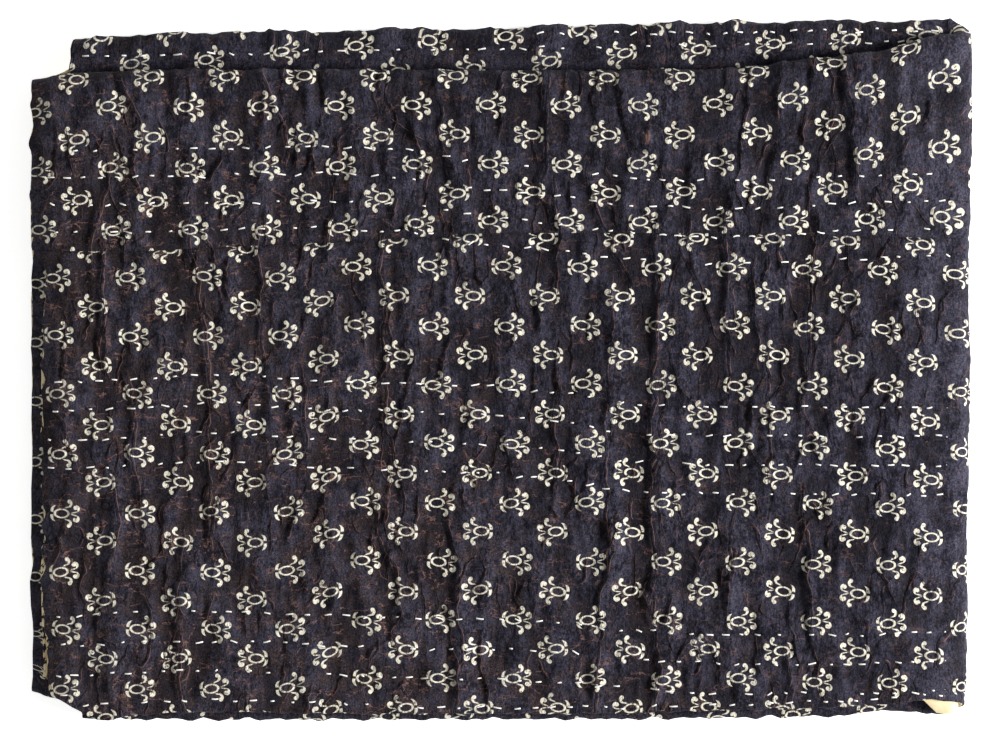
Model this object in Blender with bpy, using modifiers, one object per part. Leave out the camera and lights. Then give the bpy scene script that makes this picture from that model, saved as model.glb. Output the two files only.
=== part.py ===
"""Quilted throw blanket, folded into a flat rectangle.

The throw is a printed cloth, joined from two panels, quilted to a plain cream backing. It is folded in four
along its length, which stacks four layers, and then in half across, at the right. That leaves a front pack on
top of a back pack: eight layers that lie back and forth, each a little apart from the next.

Lengths are in metres, +Z is up, and the throw lies on z = 0 with the middle of its box at x = y = 0.
"""

import math

import bpy
import numpy as np

MM = 0.001

PRINT_THICKNESS = 1.2 * MM
BACKING_THICKNESS = 1.0 * MM
QUILT_GAP = 0.4 * MM
SEAM_GAP = 0.3 * MM
LAYER_PITCH = 4.0 * MM
PACK_HEIGHT = 4 * LAYER_PITCH
PRINT_FACE = QUILT_GAP / 2 + PRINT_THICKNESS
BACKING_FACE = QUILT_GAP / 2 + BACKING_THICKNESS
FLOOR_DROP = LAYER_PITCH / 2 - PRINT_FACE

# Depth of each run of cloth below the outer side of its pack, and of the middle of each bend.
LAYER_DEPTH = {"run_1": 0.5 * LAYER_PITCH, "run_2": 3.5 * LAYER_PITCH,
               "run_3": 2.5 * LAYER_PITCH, "run_4": 1.5 * LAYER_PITCH}
TOP_BEND_DEPTH = 2 * LAYER_PITCH
BOTTOM_BEND_DEPTH = 3 * LAYER_PITCH
OUTER_BEND = 1.5 * LAYER_PITCH
INNER_BEND = 0.5 * LAYER_PITCH

# Spans of cloth in order from the front hem to the hidden hem, and the steps that each bend is given.
SPANS = ("run_1", "outer_top_bend", "run_2", "bottom_bend", "run_3", "inner_top_bend", "run_4")
BEND_STEPS = {"outer_top_bend": 5, "bottom_bend": 3, "inner_top_bend": 3}

# Outlines seen from above, in millimetres, at stations from left to right.
# station, fold of front pack, fold of back pack, seam of the panels, front hem, lowest edge of the back pack
OUTLINE_MM = np.array((
    (-323, 201.1, 229.0, 83.2, -221.0, -240.0),
    (-310, 202.3, 229.0, 83.2, -223.0, -240.0),
    (-293, 204.3, 229.8, 82.5, -229.3, -240.1),
    (-277, 205.6, 229.8, 82.5, -238.7, -240.1),
    (-250, 206.4, 231.9, 82.5, -235.0, -240.1),
    (-207, 207.2, 232.5, 84.6, -232.6, -240.5),
    (-100, 206.8, 234.5, 89.5, -233.9, -240.5),
    (0, 206.6, 236.3, 94.9, -233.9, -240.2),
    (67, 206.5, 238.0, 95.0, -233.9, -240.2),
    (136, 207.2, 239.9, 94.9, -231.9, -239.5),
    (180, 209.9, 240.2, 94.0, -230.9, -239.0),
    (208, 214.1, 240.4, 93.5, -230.2, -238.5),
    (236, 216.8, 240.8, 93.0, -229.2, -237.8),
    (262, 220.5, 241.0, 92.5, -227.5, -234.5),
    (296, 229.8, 241.3, 91.8, -225.0, -236.6),
    (318, 231.9, 239.4, 91.4, -225.7, -238.0),
))
FRONT_FOLD, BACK_FOLD, SEAM, FRONT_HEM, BACK_EDGE = range(1, 6)

# How far hidden edges stop short of the line that they follow, in millimetres, from left to right.
# station, bottom bend above front hem, hidden hem above front hem, inner bend of back pack below its fold
INSET_MM = np.array((
    (-323, 0.0, 14.0, 26.0),
    (-298, -2.0, 9.0, 22.0),
    (-285, -1.5, 8.0, 9.0),
    (-262, -1.5, 8.0, 0.0),
    (150, -2.0, 8.0, 0.0),
    (285, -2.0, 3.0, 0.0),
    (302, -1.0, -10.0, 0.0),
    (318, 1.0, -9.0, 0.0),
))
FRONT_BOTTOM_BEND, FRONT_HIDDEN_HEM, BACK_INNER_BEND = range(1, 4)
BACK_HEM_INSET = 4 * MM
BACK_HIDDEN_HEM_INSET = 9 * MM

# The left edge of the face steps out between these shares of the way up it, where the two panels meet.
STEP_START = 0.722
STEP_END = 0.763
# Left edge of each run in millimetres, at shares of the way along it: share, front pack, back pack.
LEFT_EDGE_MM = {
    "run_1": ((0.00, -309.6, -290.0), (0.10, -311.7, -290.0), (0.20, -313.7, -290.5), (0.50, -314.4, -291.0),
              (STEP_START, -312.4, -292.0), (STEP_END, -322.6, -292.0), (1.00, -322.6, -292.5)),
    "run_2": ((0.0, -322.6, -296.5), (0.5, -323.2, -293.0), (1.0, -323.2, -288.4)),
    "run_3": ((0.0, -323.2, -288.4), (0.5, -323.2, -293.0), (1.0, -321.0, -313.0)),
    "run_4": ((0.0, -321.0, -313.0), (0.25, -312.5, -298.0), (0.72, -312.5, -292.0), (0.8, -315.5, -291.5),
              (1.0, -313.4, -290.0)),
}
RIGHT_SIDE_LOW = 319.5 * MM
RIGHT_SIDE_HIGH = 323.3 * MM
SIDE_LOW_Y = -235 * MM
SIDE_HIGH_Y = 235 * MM

# The front pack reaches past the left edge of the back pack and sags there.
SAG_START_X = -298 * MM
SAG_REACH = 25 * MM
SAG_DEPTH = 7 * MM
BACK_SAG_SHARE = 0.35

# Steps across the throw: the front pack from its left edge, the turn at the right, the back pack.
OVERHANG_SHARES = (0.0, 0.016, 0.032, 0.05)
FRONT_STEPS = 34
TURN_STEPS = 7
BACK_SHARES = (0.33, 0.67, 0.9, 0.955, 1.0)

# Length of the front face from its hem to the fold, where its seam is, and the quilted rows in it.
FACE_LENGTH = 433 * MM
SEAM_SHARE = 0.755
HEM_PANEL_END = SEAM_SHARE - SEAM_GAP / 2 / FACE_LENGTH
MAIN_PANEL_START = SEAM_SHARE + SEAM_GAP / 2 / FACE_LENGTH
SHORTEST_STEP = 0.004
# first row's distance from the hem, number of rows
STITCH_GROUPS_MM = ((10.5, 4), (148.0, 5), (309.0, 5))
STITCH_PITCH = 19.4 * MM
STITCH_TROUGH_DEPTH = 0.7 * MM
STITCH_TROUGH_WIDTH = 5 * MM
LONGEST_FACE_STEP = 24 * MM

# The face lies this far over the backing, less in a trough and more on a ridge.
PUFF_HEIGHT = 2.6 * MM
CREASE_TAPER = 14 * MM
LAST_PUFF_SHARE = 0.97
SNAP_SHARE = 0.012
SEAM_CLEARANCE = 0.008
FACE_FADE = 0.8
# Main creases of the front face, in millimetres. A trough's rise is below 0.
# upper end x, upper end y, lower end x, lower end y, half width, rise
CREASES_MM = (
    (-271, 206, -251, 169, 8, -1.6),
    (-274, 124, -288, 90, 9, -2.1),
    (-278, 83, -279, 15, 9, -2.0),
    (-220, 83, -203, -16, 10, -2.6),
    (-208, -26, -205, -108, 10, -2.3),
    (-217, -119, -226, -191, 9, 2.1),
    (-226, -184, -226, -238, 9, -2.3),
    (-260, -19, -253, -88, 9, -2.0),
    (-166, 203, -153, 155, 8, -1.7),
    (-172, 90, -168, 18, 8, -1.7),
    (-121, 124, -125, 90, 9, -2.0),
    (-87, 83, -86, 15, 9, -2.2),
    (-87, -16, -75, -88, 10, -2.5),
    (-92, -102, -73, -153, 9, -2.1),
    (-84, 176, -36, 141, 8, -1.8),
    (24, 200, 23, 128, 10, -2.6),
    (32, 121, 33, 63, 9, -2.3),
    (32, -19, 32, -68, 8, -1.8),
    (54, 128, 81, 63, 9, -2.2),
    (77, 49, 72, -102, 9, 2.6),
    (75, -109, 64, -239, 9, 2.9),
    (100, 90, 98, -74, 9, -2.6),
    (95, -88, 101, -239, 10, -2.9),
    (113, -13, 110, -105, 8, 2.3),
    (149, 118, 149, -6, 10, -2.7),
    (184, 5, 186, -88, 8, 2.0),
    (208, 94, 201, -20, 10, -2.6),
    (201, -92, 206, -167, 10, -2.6),
    (218, 169, 222, 138, 11, -2.9),
    (231, 193, 239, 138, 9, -2.2),
    (-27, -150, -27, -239, 9, 2.3),
    (160, -115, 156, -157, 8, 2.1),
)

INDIGO = (0.018, 0.016, 0.026, 1.0)
CREAM = (0.83, 0.67, 0.39, 1.0)
CLOTH_ROUGHNESS = 0.9


def level_slopes(stations, values):
    """Slopes for a smooth line through the values that never swings past them."""
    steps = np.diff(values) / np.diff(stations)
    before, after = steps[:-1], steps[1:]
    same_way = before * after > 0
    total = np.where(same_way, before + after, 1.0)
    inner = np.where(same_way, 2 * before * after / total, 0.0)
    return np.concatenate((steps[:1], inner, steps[-1:]))


def curve_through(table, column, station):
    """A smooth line through one column of a table, read at a station of its first column."""
    stations = table[:, 0]
    values = table[:, column]
    if station <= stations[0]:
        return values[0]
    if station >= stations[-1]:
        return values[-1]
    slopes = level_slopes(stations, values)
    before = int(np.searchsorted(stations, station, side="right")) - 1
    width = stations[before + 1] - stations[before]
    share = (station - stations[before]) / width
    left = 1 - share
    start = left ** 2 * ((1 + 2 * share) * values[before] + share * width * slopes[before])
    end = share ** 2 * ((3 - 2 * share) * values[before + 1] - left * width * slopes[before + 1])
    return start + end


def outline(column, x):
    return curve_through(OUTLINE_MM, column, x / MM) * MM


def inset(column, x):
    return curve_through(INSET_MM, column, x / MM) * MM


def mix(first, second, share):
    return first + (second - first) * share


def ease(share):
    """0 to 1 with level ends."""
    share = min(max(share, 0.0), 1.0)
    return share * share * (3 - 2 * share)


def nominal_y(span, share):
    """Where a row lies up the pack before its outline is given, for what changes slowly with it."""
    if span in ("run_1", "run_3"):
        return mix(SIDE_LOW_Y, SIDE_HIGH_Y, share)
    if span in ("run_2", "run_4"):
        return mix(SIDE_HIGH_Y, SIDE_LOW_Y, share)
    return SIDE_LOW_Y if span == "bottom_bend" else SIDE_HIGH_Y


def left_edge(span, share, pack):
    """Left end of a row in one pack, where 1 is the front pack's column and 2 the back pack's."""
    if span == "outer_top_bend":
        return mix(LEFT_EDGE_MM["run_1"][-1][pack], LEFT_EDGE_MM["run_2"][0][pack], share) * MM
    if span == "bottom_bend":
        return LEFT_EDGE_MM["run_2"][-1][pack] * MM
    if span == "inner_top_bend":
        return LEFT_EDGE_MM["run_3"][-1][pack] * MM
    shares = [row[0] for row in LEFT_EDGE_MM[span]]
    edges = [row[pack] for row in LEFT_EDGE_MM[span]]
    return float(np.interp(share, shares, edges)) * MM


def turn_centre(span, share):
    """Middle of the fold at the right, which leaves the outermost layer on the right side line."""
    up = (nominal_y(span, share) - SIDE_LOW_Y) / (SIDE_HIGH_Y - SIDE_LOW_Y)
    outer_radius = PACK_HEIGHT - LAYER_DEPTH["run_1"] + PRINT_FACE
    return mix(RIGHT_SIDE_LOW, RIGHT_SIDE_HIGH, up) - outer_radius


def pack_lines(x, back):
    """The lines that the cloth is folded to, where back runs from 0 (front pack) to 1 (back pack)."""
    front_hem = outline(FRONT_HEM, x)
    back_edge = outline(BACK_EDGE, x)
    fold = mix(outline(FRONT_FOLD, x), outline(BACK_FOLD, x), back) - OUTER_BEND - PRINT_FACE
    return {
        "hem": mix(front_hem, back_edge + BACK_HEM_INSET, back),
        "seam": outline(SEAM, x),
        "fold": fold,
        "inner_fold": fold - back * inset(BACK_INNER_BEND, x),
        "bottom": mix(front_hem + inset(FRONT_BOTTOM_BEND, x), back_edge, back) + INNER_BEND + PRINT_FACE,
        "hidden_hem": mix(front_hem + inset(FRONT_HIDDEN_HEM, x), back_edge + BACK_HIDDEN_HEM_INSET, back),
    }


def section(span, share, out, lines):
    """Place (y, depth) of a point of the pack's section, where out is its height towards the printed side."""
    angle = math.pi * share
    if span == "run_1":
        if share < SEAM_SHARE:
            y = mix(lines["hem"], lines["seam"], share / SEAM_SHARE)
        else:
            y = mix(lines["seam"], lines["fold"], (share - SEAM_SHARE) / (1 - SEAM_SHARE))
        return y, LAYER_DEPTH[span] - out
    if span == "outer_top_bend":
        radius = OUTER_BEND + out
        return lines["fold"] + radius * math.sin(angle), TOP_BEND_DEPTH - radius * math.cos(angle)
    if span == "run_2":
        return mix(lines["fold"], lines["bottom"], share), LAYER_DEPTH[span] + out
    if span == "bottom_bend":
        radius = INNER_BEND + out
        return lines["bottom"] - radius * math.sin(angle), BOTTOM_BEND_DEPTH + radius * math.cos(angle)
    if span == "run_3":
        return mix(lines["bottom"], lines["inner_fold"], share), LAYER_DEPTH[span] - out
    if span == "inner_top_bend":
        radius = INNER_BEND - out
        return lines["inner_fold"] + radius * math.sin(angle), TOP_BEND_DEPTH + radius * math.cos(angle)
    return mix(lines["inner_fold"], lines["hidden_hem"], share), LAYER_DEPTH[span] + out


def sag(x):
    """How far the front pack hangs down past the left edge of the back pack."""
    return SAG_DEPTH * max(0.0, (SAG_START_X - x) / SAG_REACH) ** 2


def stitch_rows():
    """Distances of the quilted rows from the hem."""
    return [first * MM + row * STITCH_PITCH for first, count in STITCH_GROUPS_MM for row in range(count)]


def relief(x, y, from_hem):
    """Height of the front face over its backing: puffed between quilted rows, with troughs and ridges."""
    height = PUFF_HEIGHT
    for top_x, top_y, low_x, low_y, half_width, rise in CREASES_MM:
        down = min(max((top_y * MM - y) / ((top_y - low_y) * MM), 0.0), 1.0)
        aside = x - mix(top_x, low_x, down) * MM
        past_end = max(y - top_y * MM, low_y * MM - y, 0.0)
        taper = math.exp(-(past_end / CREASE_TAPER) ** 2)
        height += rise * MM * taper * math.exp(-(aside / (half_width * MM)) ** 2)
    for row in stitch_rows():
        height -= STITCH_TROUGH_DEPTH * math.exp(-((from_hem - row) / STITCH_TROUGH_WIDTH) ** 2)
    return max(height, 0.0)


def face_weight(span, share, turn):
    """1 on the front face, falling to 0 over the folds that lead away from it."""
    if span == "run_1":
        down_fold = 1.0
    elif span == "outer_top_bend":
        down_fold = 1 - ease(share / FACE_FADE)
    else:
        down_fold = 0.0
    return down_fold * (1 - ease(turn / FACE_FADE))


def fold_cloth(column, row, out, puffed):
    """World place of one point of the cloth, from its column (part, share), row (span, share) and height."""
    part, across = column
    span, share = row
    centre_x = turn_centre(span, share)
    if part == "front":
        x = mix(left_edge(span, share, 1), centre_x, across)
        back, turn = 0.0, 0.0
    elif part == "turn":
        x = centre_x
        back, turn = ease(across), across
    else:
        x = mix(centre_x, left_edge(span, share, 2), across)
        back, turn = 1.0, 1.0
    lines = pack_lines(x, back)
    weight = face_weight(span, share, turn)
    if puffed and weight > 0:
        flat_y, _ = section(span, share, out, lines)
        from_hem = FACE_LENGTH * (share if span == "run_1" else 1.0)
        out += weight * relief(x, flat_y, from_hem)
    y, depth = section(span, share, out, lines)
    if part == "front":
        z = 2 * PACK_HEIGHT - depth - sag(x)
    elif part == "turn":
        radius = PACK_HEIGHT - depth
        x = centre_x + radius * math.sin(math.pi * turn)
        z = PACK_HEIGHT + radius * math.cos(math.pi * turn)
    else:
        z = depth - BACK_SAG_SHARE * sag(x)
    return x, y, z - FLOOR_DROP


def all_columns():
    """Steps across the throw: the front pack from its left edge, the fold at the right, the back pack."""
    rest = np.linspace(OVERHANG_SHARES[-1], 1.0, FRONT_STEPS + 1)
    shares = list(OVERHANG_SHARES[:-1]) + [float(share) for share in rest]
    columns = [("front", share) for share in shares]
    columns += [("turn", step / TURN_STEPS) for step in range(1, TURN_STEPS + 1)]
    columns += [("back", share) for share in BACK_SHARES]
    return columns


def face_rows():
    """Steps up the front face: each quilted row and the puff beside it, and the steps of its left edge."""
    rows = stitch_rows()
    puffs = [row + STITCH_PITCH / 2 for row in rows]
    marks = sorted(mark / FACE_LENGTH for mark in rows + puffs)
    marks = [mark for mark in marks if mark < LAST_PUFF_SHARE and abs(mark - SEAM_SHARE) > SEAM_CLEARANCE]
    for edge_row in LEFT_EDGE_MM["run_1"]:
        nearest = min(range(len(marks)), key=lambda index: abs(marks[index] - edge_row[0]))
        if abs(marks[nearest] - edge_row[0]) < SNAP_SHARE:
            marks[nearest] = edge_row[0]
        else:
            marks.append(edge_row[0])
        marks.sort()
    filled = []
    for start, end in zip(marks[:-1], marks[1:]):
        steps = max(1, math.ceil((end - start) * FACE_LENGTH / LONGEST_FACE_STEP))
        filled += [mix(start, end, step / steps) for step in range(steps)]
    return filled + [marks[-1]]


def hidden_rows():
    """Steps along the cloth behind the face: even ones round a bend, and the left edge's own on a run."""
    rows = []
    for span in SPANS[1:]:
        if span in BEND_STEPS:
            rows += [(span, step / BEND_STEPS[span]) for step in range(1, BEND_STEPS[span] + 1)]
        else:
            rows += [(span, edge_row[0]) for edge_row in LEFT_EDGE_MM[span][1:]]
    return rows


def flat_slab(columns, rows):
    """A flat grid with a thickness: the cloth before it is folded. Both faces are halved the same way."""
    bpy.ops.mesh.primitive_grid_add(x_subdivisions=columns, y_subdivisions=rows, size=2)
    slab = bpy.context.object
    halves = slab.modifiers.new("halved squares", "TRIANGULATE")
    halves.quad_method = "FIXED"
    thickness = slab.modifiers.new("cloth thickness", "SOLIDIFY")
    thickness.thickness = 1.0
    thickness.offset = 0.0
    mesh = bpy.data.meshes.new_from_object(slab.evaluated_get(bpy.context.evaluated_depsgraph_get()))
    bpy.data.objects.remove(slab)
    return mesh


def folded_sheet(name, rows, lower_face, upper_face, puffed, material, collection):
    """One cloth: a flat slab with a step for each column and row, with each point carried to its fold."""
    columns = all_columns()
    mesh = flat_slab(len(columns) - 1, len(rows) - 1)
    for vertex in mesh.vertices:
        column = columns[round((vertex.co.x + 1) / 2 * (len(columns) - 1))]
        row = rows[round((vertex.co.y + 1) / 2 * (len(rows) - 1))]
        out = upper_face if vertex.co.z > 0 else lower_face
        vertex.co = fold_cloth(column, row, out, puffed)
    mesh.name = name
    mesh.shade_smooth()
    mesh.set_sharp_from_angle(angle=math.radians(60))
    mesh.materials.clear()
    mesh.materials.append(material)
    sheet = bpy.data.objects.new(name, mesh)
    collection.objects.link(sheet)
    return sheet


def cloth_material(name, colour):
    material = bpy.data.materials.new(name)
    material.use_nodes = True
    shader = material.node_tree.nodes["Principled BSDF"]
    shader.inputs["Base Color"].default_value = colour
    shader.inputs["Roughness"].default_value = CLOTH_ROUGHNESS
    shader.inputs["Metallic"].default_value = 0.0
    return material


def hem_panel_rows():
    return [share for share in face_rows() if share < HEM_PANEL_END - SHORTEST_STEP] + [HEM_PANEL_END]


def main_panel_rows():
    return [MAIN_PANEL_START] + [share for share in face_rows() if share > MAIN_PANEL_START + SHORTEST_STEP]


def hem_panel(material, collection):
    """The printed panel from the front hem up to the seam."""
    rows = [("run_1", share) for share in hem_panel_rows()]
    return folded_sheet("hem_panel", rows, QUILT_GAP / 2, PRINT_FACE, True, material, collection)


def main_panel(material, collection):
    """The printed panel from the seam over the fold, through the pack, to the hidden hem."""
    rows = [("run_1", share) for share in main_panel_rows()] + hidden_rows()
    return folded_sheet("main_panel", rows, QUILT_GAP / 2, PRINT_FACE, True, material, collection)


def backing_cloth(material, collection):
    """The plain cloth behind both panels, in one piece from hem to hem."""
    edge_shares = [edge_row[0] for edge_row in LEFT_EDGE_MM["run_1"]]
    printed = hem_panel_rows() + main_panel_rows()
    shares = [share for share in printed if share in edge_shares or STEP_START < share < STEP_END]
    rows = [("run_1", share) for share in shares] + hidden_rows()
    return folded_sheet("backing_cloth", rows, -BACKING_FACE, -QUILT_GAP / 2, False, material, collection)


def centre_on_origin(sheets):
    """Moves all the cloths together so that the middle of their common box is at x = y = 0."""
    corners = np.array([vertex.co for sheet in sheets for vertex in sheet.data.vertices])
    middle = (corners.min(axis=0) + corners.max(axis=0)) / 2
    for sheet in sheets:
        for vertex in sheet.data.vertices:
            vertex.co.x -= middle[0]
            vertex.co.y -= middle[1]


def build():
    for old in list(bpy.data.objects):
        bpy.data.objects.remove(old)
    collection = bpy.data.collections.new("quilted_throw")
    bpy.context.scene.collection.children.link(collection)
    printed = cloth_material("printed_cotton", INDIGO)
    plain = cloth_material("cream_cotton", CREAM)
    sheets = [
        hem_panel(printed, collection),
        main_panel(printed, collection),
        backing_cloth(plain, collection),
    ]
    centre_on_origin(sheets)
    return sheets


build()
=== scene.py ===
# %% [markdown]
# # A quilted throw, folded flat
# The real throw is two thin cotton cloths, a dark printed one and a plain cream one, held together by rows
# of white running stitch. It is folded in four along its length and then in half across, so it lies as a
# flat rectangle with its last fold at the right. This script dresses that shape: it folds each cloth as a
# fine sheet, crumples it, prints it, and sews the stitches on.
#
# The first cell loads the solid model, which fixes the size and place of every piece.

# %% Load the solid model
import math

import bpy
import numpy as np
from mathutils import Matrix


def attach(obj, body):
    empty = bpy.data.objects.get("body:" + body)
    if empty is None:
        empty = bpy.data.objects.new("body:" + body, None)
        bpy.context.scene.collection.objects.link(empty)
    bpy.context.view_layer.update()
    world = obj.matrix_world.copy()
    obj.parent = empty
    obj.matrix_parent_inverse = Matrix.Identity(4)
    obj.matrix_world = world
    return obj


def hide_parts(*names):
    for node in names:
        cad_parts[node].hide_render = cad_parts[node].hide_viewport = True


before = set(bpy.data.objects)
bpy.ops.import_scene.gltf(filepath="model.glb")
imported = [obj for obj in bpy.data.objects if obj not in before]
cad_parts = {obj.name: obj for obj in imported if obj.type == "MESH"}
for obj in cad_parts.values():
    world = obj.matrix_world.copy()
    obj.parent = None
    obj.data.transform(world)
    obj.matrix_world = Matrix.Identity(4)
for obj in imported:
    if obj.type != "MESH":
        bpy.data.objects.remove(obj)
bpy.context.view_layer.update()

MM = 0.001

# %% [markdown]
# ## The camera
# The throw is seen from straight above, and its edges show almost no perspective. A long lens from three
# metres away gives that look. The lens length follows from how wide one pixel is on the face of the throw:
# the film is to the lens as the width in view is to the distance.

# %% Camera straight above
IMAGE_WIDTH, IMAGE_HEIGHT = 1000, 740
PIXEL = 0.685 * MM
THROW_CENTRE_PIXEL = (502, 371.5)
CAMERA_DISTANCE, VIEW_LIMIT = 3.0, 20.0
FILM_WIDTH = 36.0
FACE_HEIGHT = 32 * MM


def add_camera():
    data = bpy.data.cameras.new("camera")
    data.sensor_width = FILM_WIDTH
    data.lens = FILM_WIDTH * CAMERA_DISTANCE / (IMAGE_WIDTH * PIXEL)
    data.clip_end = VIEW_LIMIT
    camera = bpy.data.objects.new("camera", data)
    beside = (IMAGE_WIDTH / 2 - THROW_CENTRE_PIXEL[0]) * PIXEL
    above = (THROW_CENTRE_PIXEL[1] - IMAGE_HEIGHT / 2) * PIXEL
    camera.location = (beside, above, FACE_HEIGHT + CAMERA_DISTANCE)
    bpy.context.scene.collection.objects.link(camera)
    bpy.context.scene.camera = camera
    return camera


camera = add_camera()
print("lens, mm:", round(camera.data.lens, 1))

# %% [markdown]
# ## How the cloth is folded
# A folded cloth is easiest to describe by its section: a row of straight runs joined by half-round bends.
# Here the cloth starts at the front hem, runs up the face, turns over the top fold, runs down behind, and
# so on through four layers. The same section is then carried round the fold at the right into the back
# pack. Everything is worked out in millimetres and turned into metres when a mesh is made.

# %% Layers of the fold
LAYER_PITCH = 4.0
PACK_HEIGHT = 4 * LAYER_PITCH
FLOOR_DROP = 0.6
FOLD_EASE = 1.4
LAYER_DEPTH = {"run_1": 0.5 * LAYER_PITCH, "run_2": 3.5 * LAYER_PITCH,
               "run_3": 2.5 * LAYER_PITCH, "run_4": 1.5 * LAYER_PITCH}
TOP_BEND_DEPTH = 2 * LAYER_PITCH
BOTTOM_BEND_DEPTH = 3 * LAYER_PITCH
OUTER_BEND = 1.5 * LAYER_PITCH
INNER_BEND = 0.5 * LAYER_PITCH
FACE_LENGTH = 433.0
SEAM_SHARE = 0.755
# The middle of the solid model's box, in the millimetres of the tables below.
THROW_MIDDLE = (0.42, 0.04)

# %% [markdown]
# The outline is uneven, as it is on any real fold. Each table row is one station across the throw, and each
# column is one edge: the two top folds, the seam, the front hem and the lowest edge of the back pack.

# %% Outline seen from above
# station, fold of front pack, fold of back pack, seam of the panels, front hem, lowest edge of the back pack
OUTLINE = np.array((
    (-323, 201.1, 229.0, 83.2, -221.0, -240.0),
    (-310, 202.3, 229.0, 83.2, -223.0, -240.0),
    (-293, 204.3, 229.8, 82.5, -229.3, -240.1),
    (-277, 205.6, 229.8, 82.5, -238.7, -240.1),
    (-250, 206.4, 231.9, 82.5, -235.0, -240.1),
    (-207, 207.2, 232.5, 84.6, -232.6, -240.5),
    (-100, 206.8, 234.5, 89.5, -233.9, -240.5),
    (0, 206.6, 236.3, 94.9, -233.9, -240.2),
    (67, 206.5, 238.0, 95.0, -233.9, -240.2),
    (136, 207.2, 239.9, 94.9, -231.9, -239.5),
    (180, 209.9, 240.2, 94.0, -230.9, -239.0),
    (208, 214.1, 240.4, 93.5, -230.2, -238.5),
    (236, 216.8, 240.8, 93.0, -229.2, -237.8),
    (262, 220.5, 241.0, 92.5, -227.5, -234.5),
    (296, 229.8, 241.3, 91.8, -225.0, -236.6),
    (318, 232.4, 246.0, 91.4, -225.7, -238.0),
))
FRONT_FOLD, BACK_FOLD, SEAM, FRONT_HEM, BACK_EDGE = range(1, 6)

# station, bottom bend above front hem, hidden hem above front hem, inner bend of back pack below its fold
INSET = np.array((
    (-323, 0.0, 14.0, 26.0),
    (-298, -2.0, 9.0, 22.0),
    (-285, -1.5, 8.0, 9.0),
    (-262, -1.5, 8.0, 0.0),
    (150, -2.0, 8.0, 0.0),
    (285, -2.0, 3.0, 0.0),
    (302, -1.0, -10.0, 0.0),
    (318, 1.0, -9.0, 0.0),
))
FRONT_BOTTOM_BEND, FRONT_HIDDEN_HEM, BACK_INNER_BEND = range(1, 4)
BACK_HEM_INSET, BACK_HIDDEN_HEM_INSET = 4.0, 9.0

# The edges wave a little. Each wave: its height, its lengths across and along, and its seed.
HEM_WAVES = ((2.4, 13, 1, 23),)
BOTTOM_WAVES = ((3.8, 10, 1, 29),)
LEFT_WAVES = ((4.2, 10, 1, 37),)
# The left edge's waves fade out at both ends of a run, so that it still meets the bends.
WAVE_FADE = 0.02

# Left end of each run at shares of the way along it: share, front pack, back pack.
LEFT_EDGE = {
    "run_1": ((0.00, -309.6, -290.0), (0.10, -311.7, -290.0), (0.20, -313.7, -290.5), (0.50, -314.4, -291.0),
              (0.722, -312.4, -292.0), (0.763, -322.6, -292.0), (1.00, -322.6, -292.5)),
    "run_2": ((0.0, -322.6, -296.5), (0.5, -323.2, -293.0), (1.0, -323.2, -288.4)),
    "run_3": ((0.0, -323.2, -288.4), (0.5, -323.2, -293.0), (1.0, -321.0, -313.0)),
    "run_4": ((0.0, -321.0, -313.0), (0.25, -312.5, -298.0), (0.72, -312.5, -292.0), (0.8, -316.6, -291.5),
              (1.0, -314.4, -290.0)),
}
RIGHT_SIDE_LOW, RIGHT_SIDE_HIGH = 319.5, 323.3
SIDE_LOW_Y, SIDE_HIGH_Y = -235.0, 235.0
SAG_START_X, SAG_REACH, SAG_DEPTH, BACK_SAG_SHARE = -298.0, 25.0, 7.0, 0.35
# The stack is pressed thinner towards its last fold, so the face slopes down there.
SHOULDER_START_X, SHOULDER_REACH, SHOULDER_SHARE = 262.0, 52.0, 0.25
TURN_LENGTH = math.pi * (PACK_HEIGHT - LAYER_DEPTH["run_1"])

# %% [markdown]
# A smooth line is drawn through each column of the tables. Ordinary cubic curves swing past their points,
# which would make layers cut through each other, so the slope at every station is held down wherever the
# line turns.

# %% Smooth lines through the tables


def mix(first, second, share):
    return first + (second - first) * share


def ease(share):
    """0 to 1 with level ends."""
    share = np.clip(share, 0.0, 1.0)
    return share * share * (3 - 2 * share)


def bell(distance, width):
    """1 at no distance, falling away smoothly over a width."""
    return np.exp(-(distance / width) ** 2)


def level_slopes(stations, values):
    """Slopes for a smooth line through the values that never swings past them."""
    steps = np.diff(values) / np.diff(stations)
    before, after = steps[:-1], steps[1:]
    same_way = before * after > 0
    total = np.where(same_way, before + after, 1.0)
    inner = np.where(same_way, 2 * before * after / total, 0.0)
    return np.concatenate((steps[:1], inner, steps[-1:]))


def curve_through(table, column, x):
    """A smooth line through one column of a table, read at stations x."""
    stations, values = table[:, 0], table[:, column]
    slopes = level_slopes(stations, values)
    x = np.clip(x, stations[0], stations[-1])
    before = np.clip(np.searchsorted(stations, x, side="right") - 1, 0, len(stations) - 2)
    width = stations[before + 1] - stations[before]
    share = (x - stations[before]) / width
    left = 1 - share
    start = left ** 2 * ((1 + 2 * share) * values[before] + share * width * slopes[before])
    end = share ** 2 * ((3 - 2 * share) * values[before + 1] - left * width * slopes[before + 1])
    return start + end


print("front hem at x = 0, mm:", round(float(curve_through(OUTLINE, FRONT_HEM, 0.0)), 1))

# %% [markdown]
# Nothing on a folded cloth is dead straight. Gradient noise gives smooth random numbers that stay the same
# on each run, and it waves the hem here and crumples the cloth later.

# %% Smooth random fields
LATTICE = 256


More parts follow.
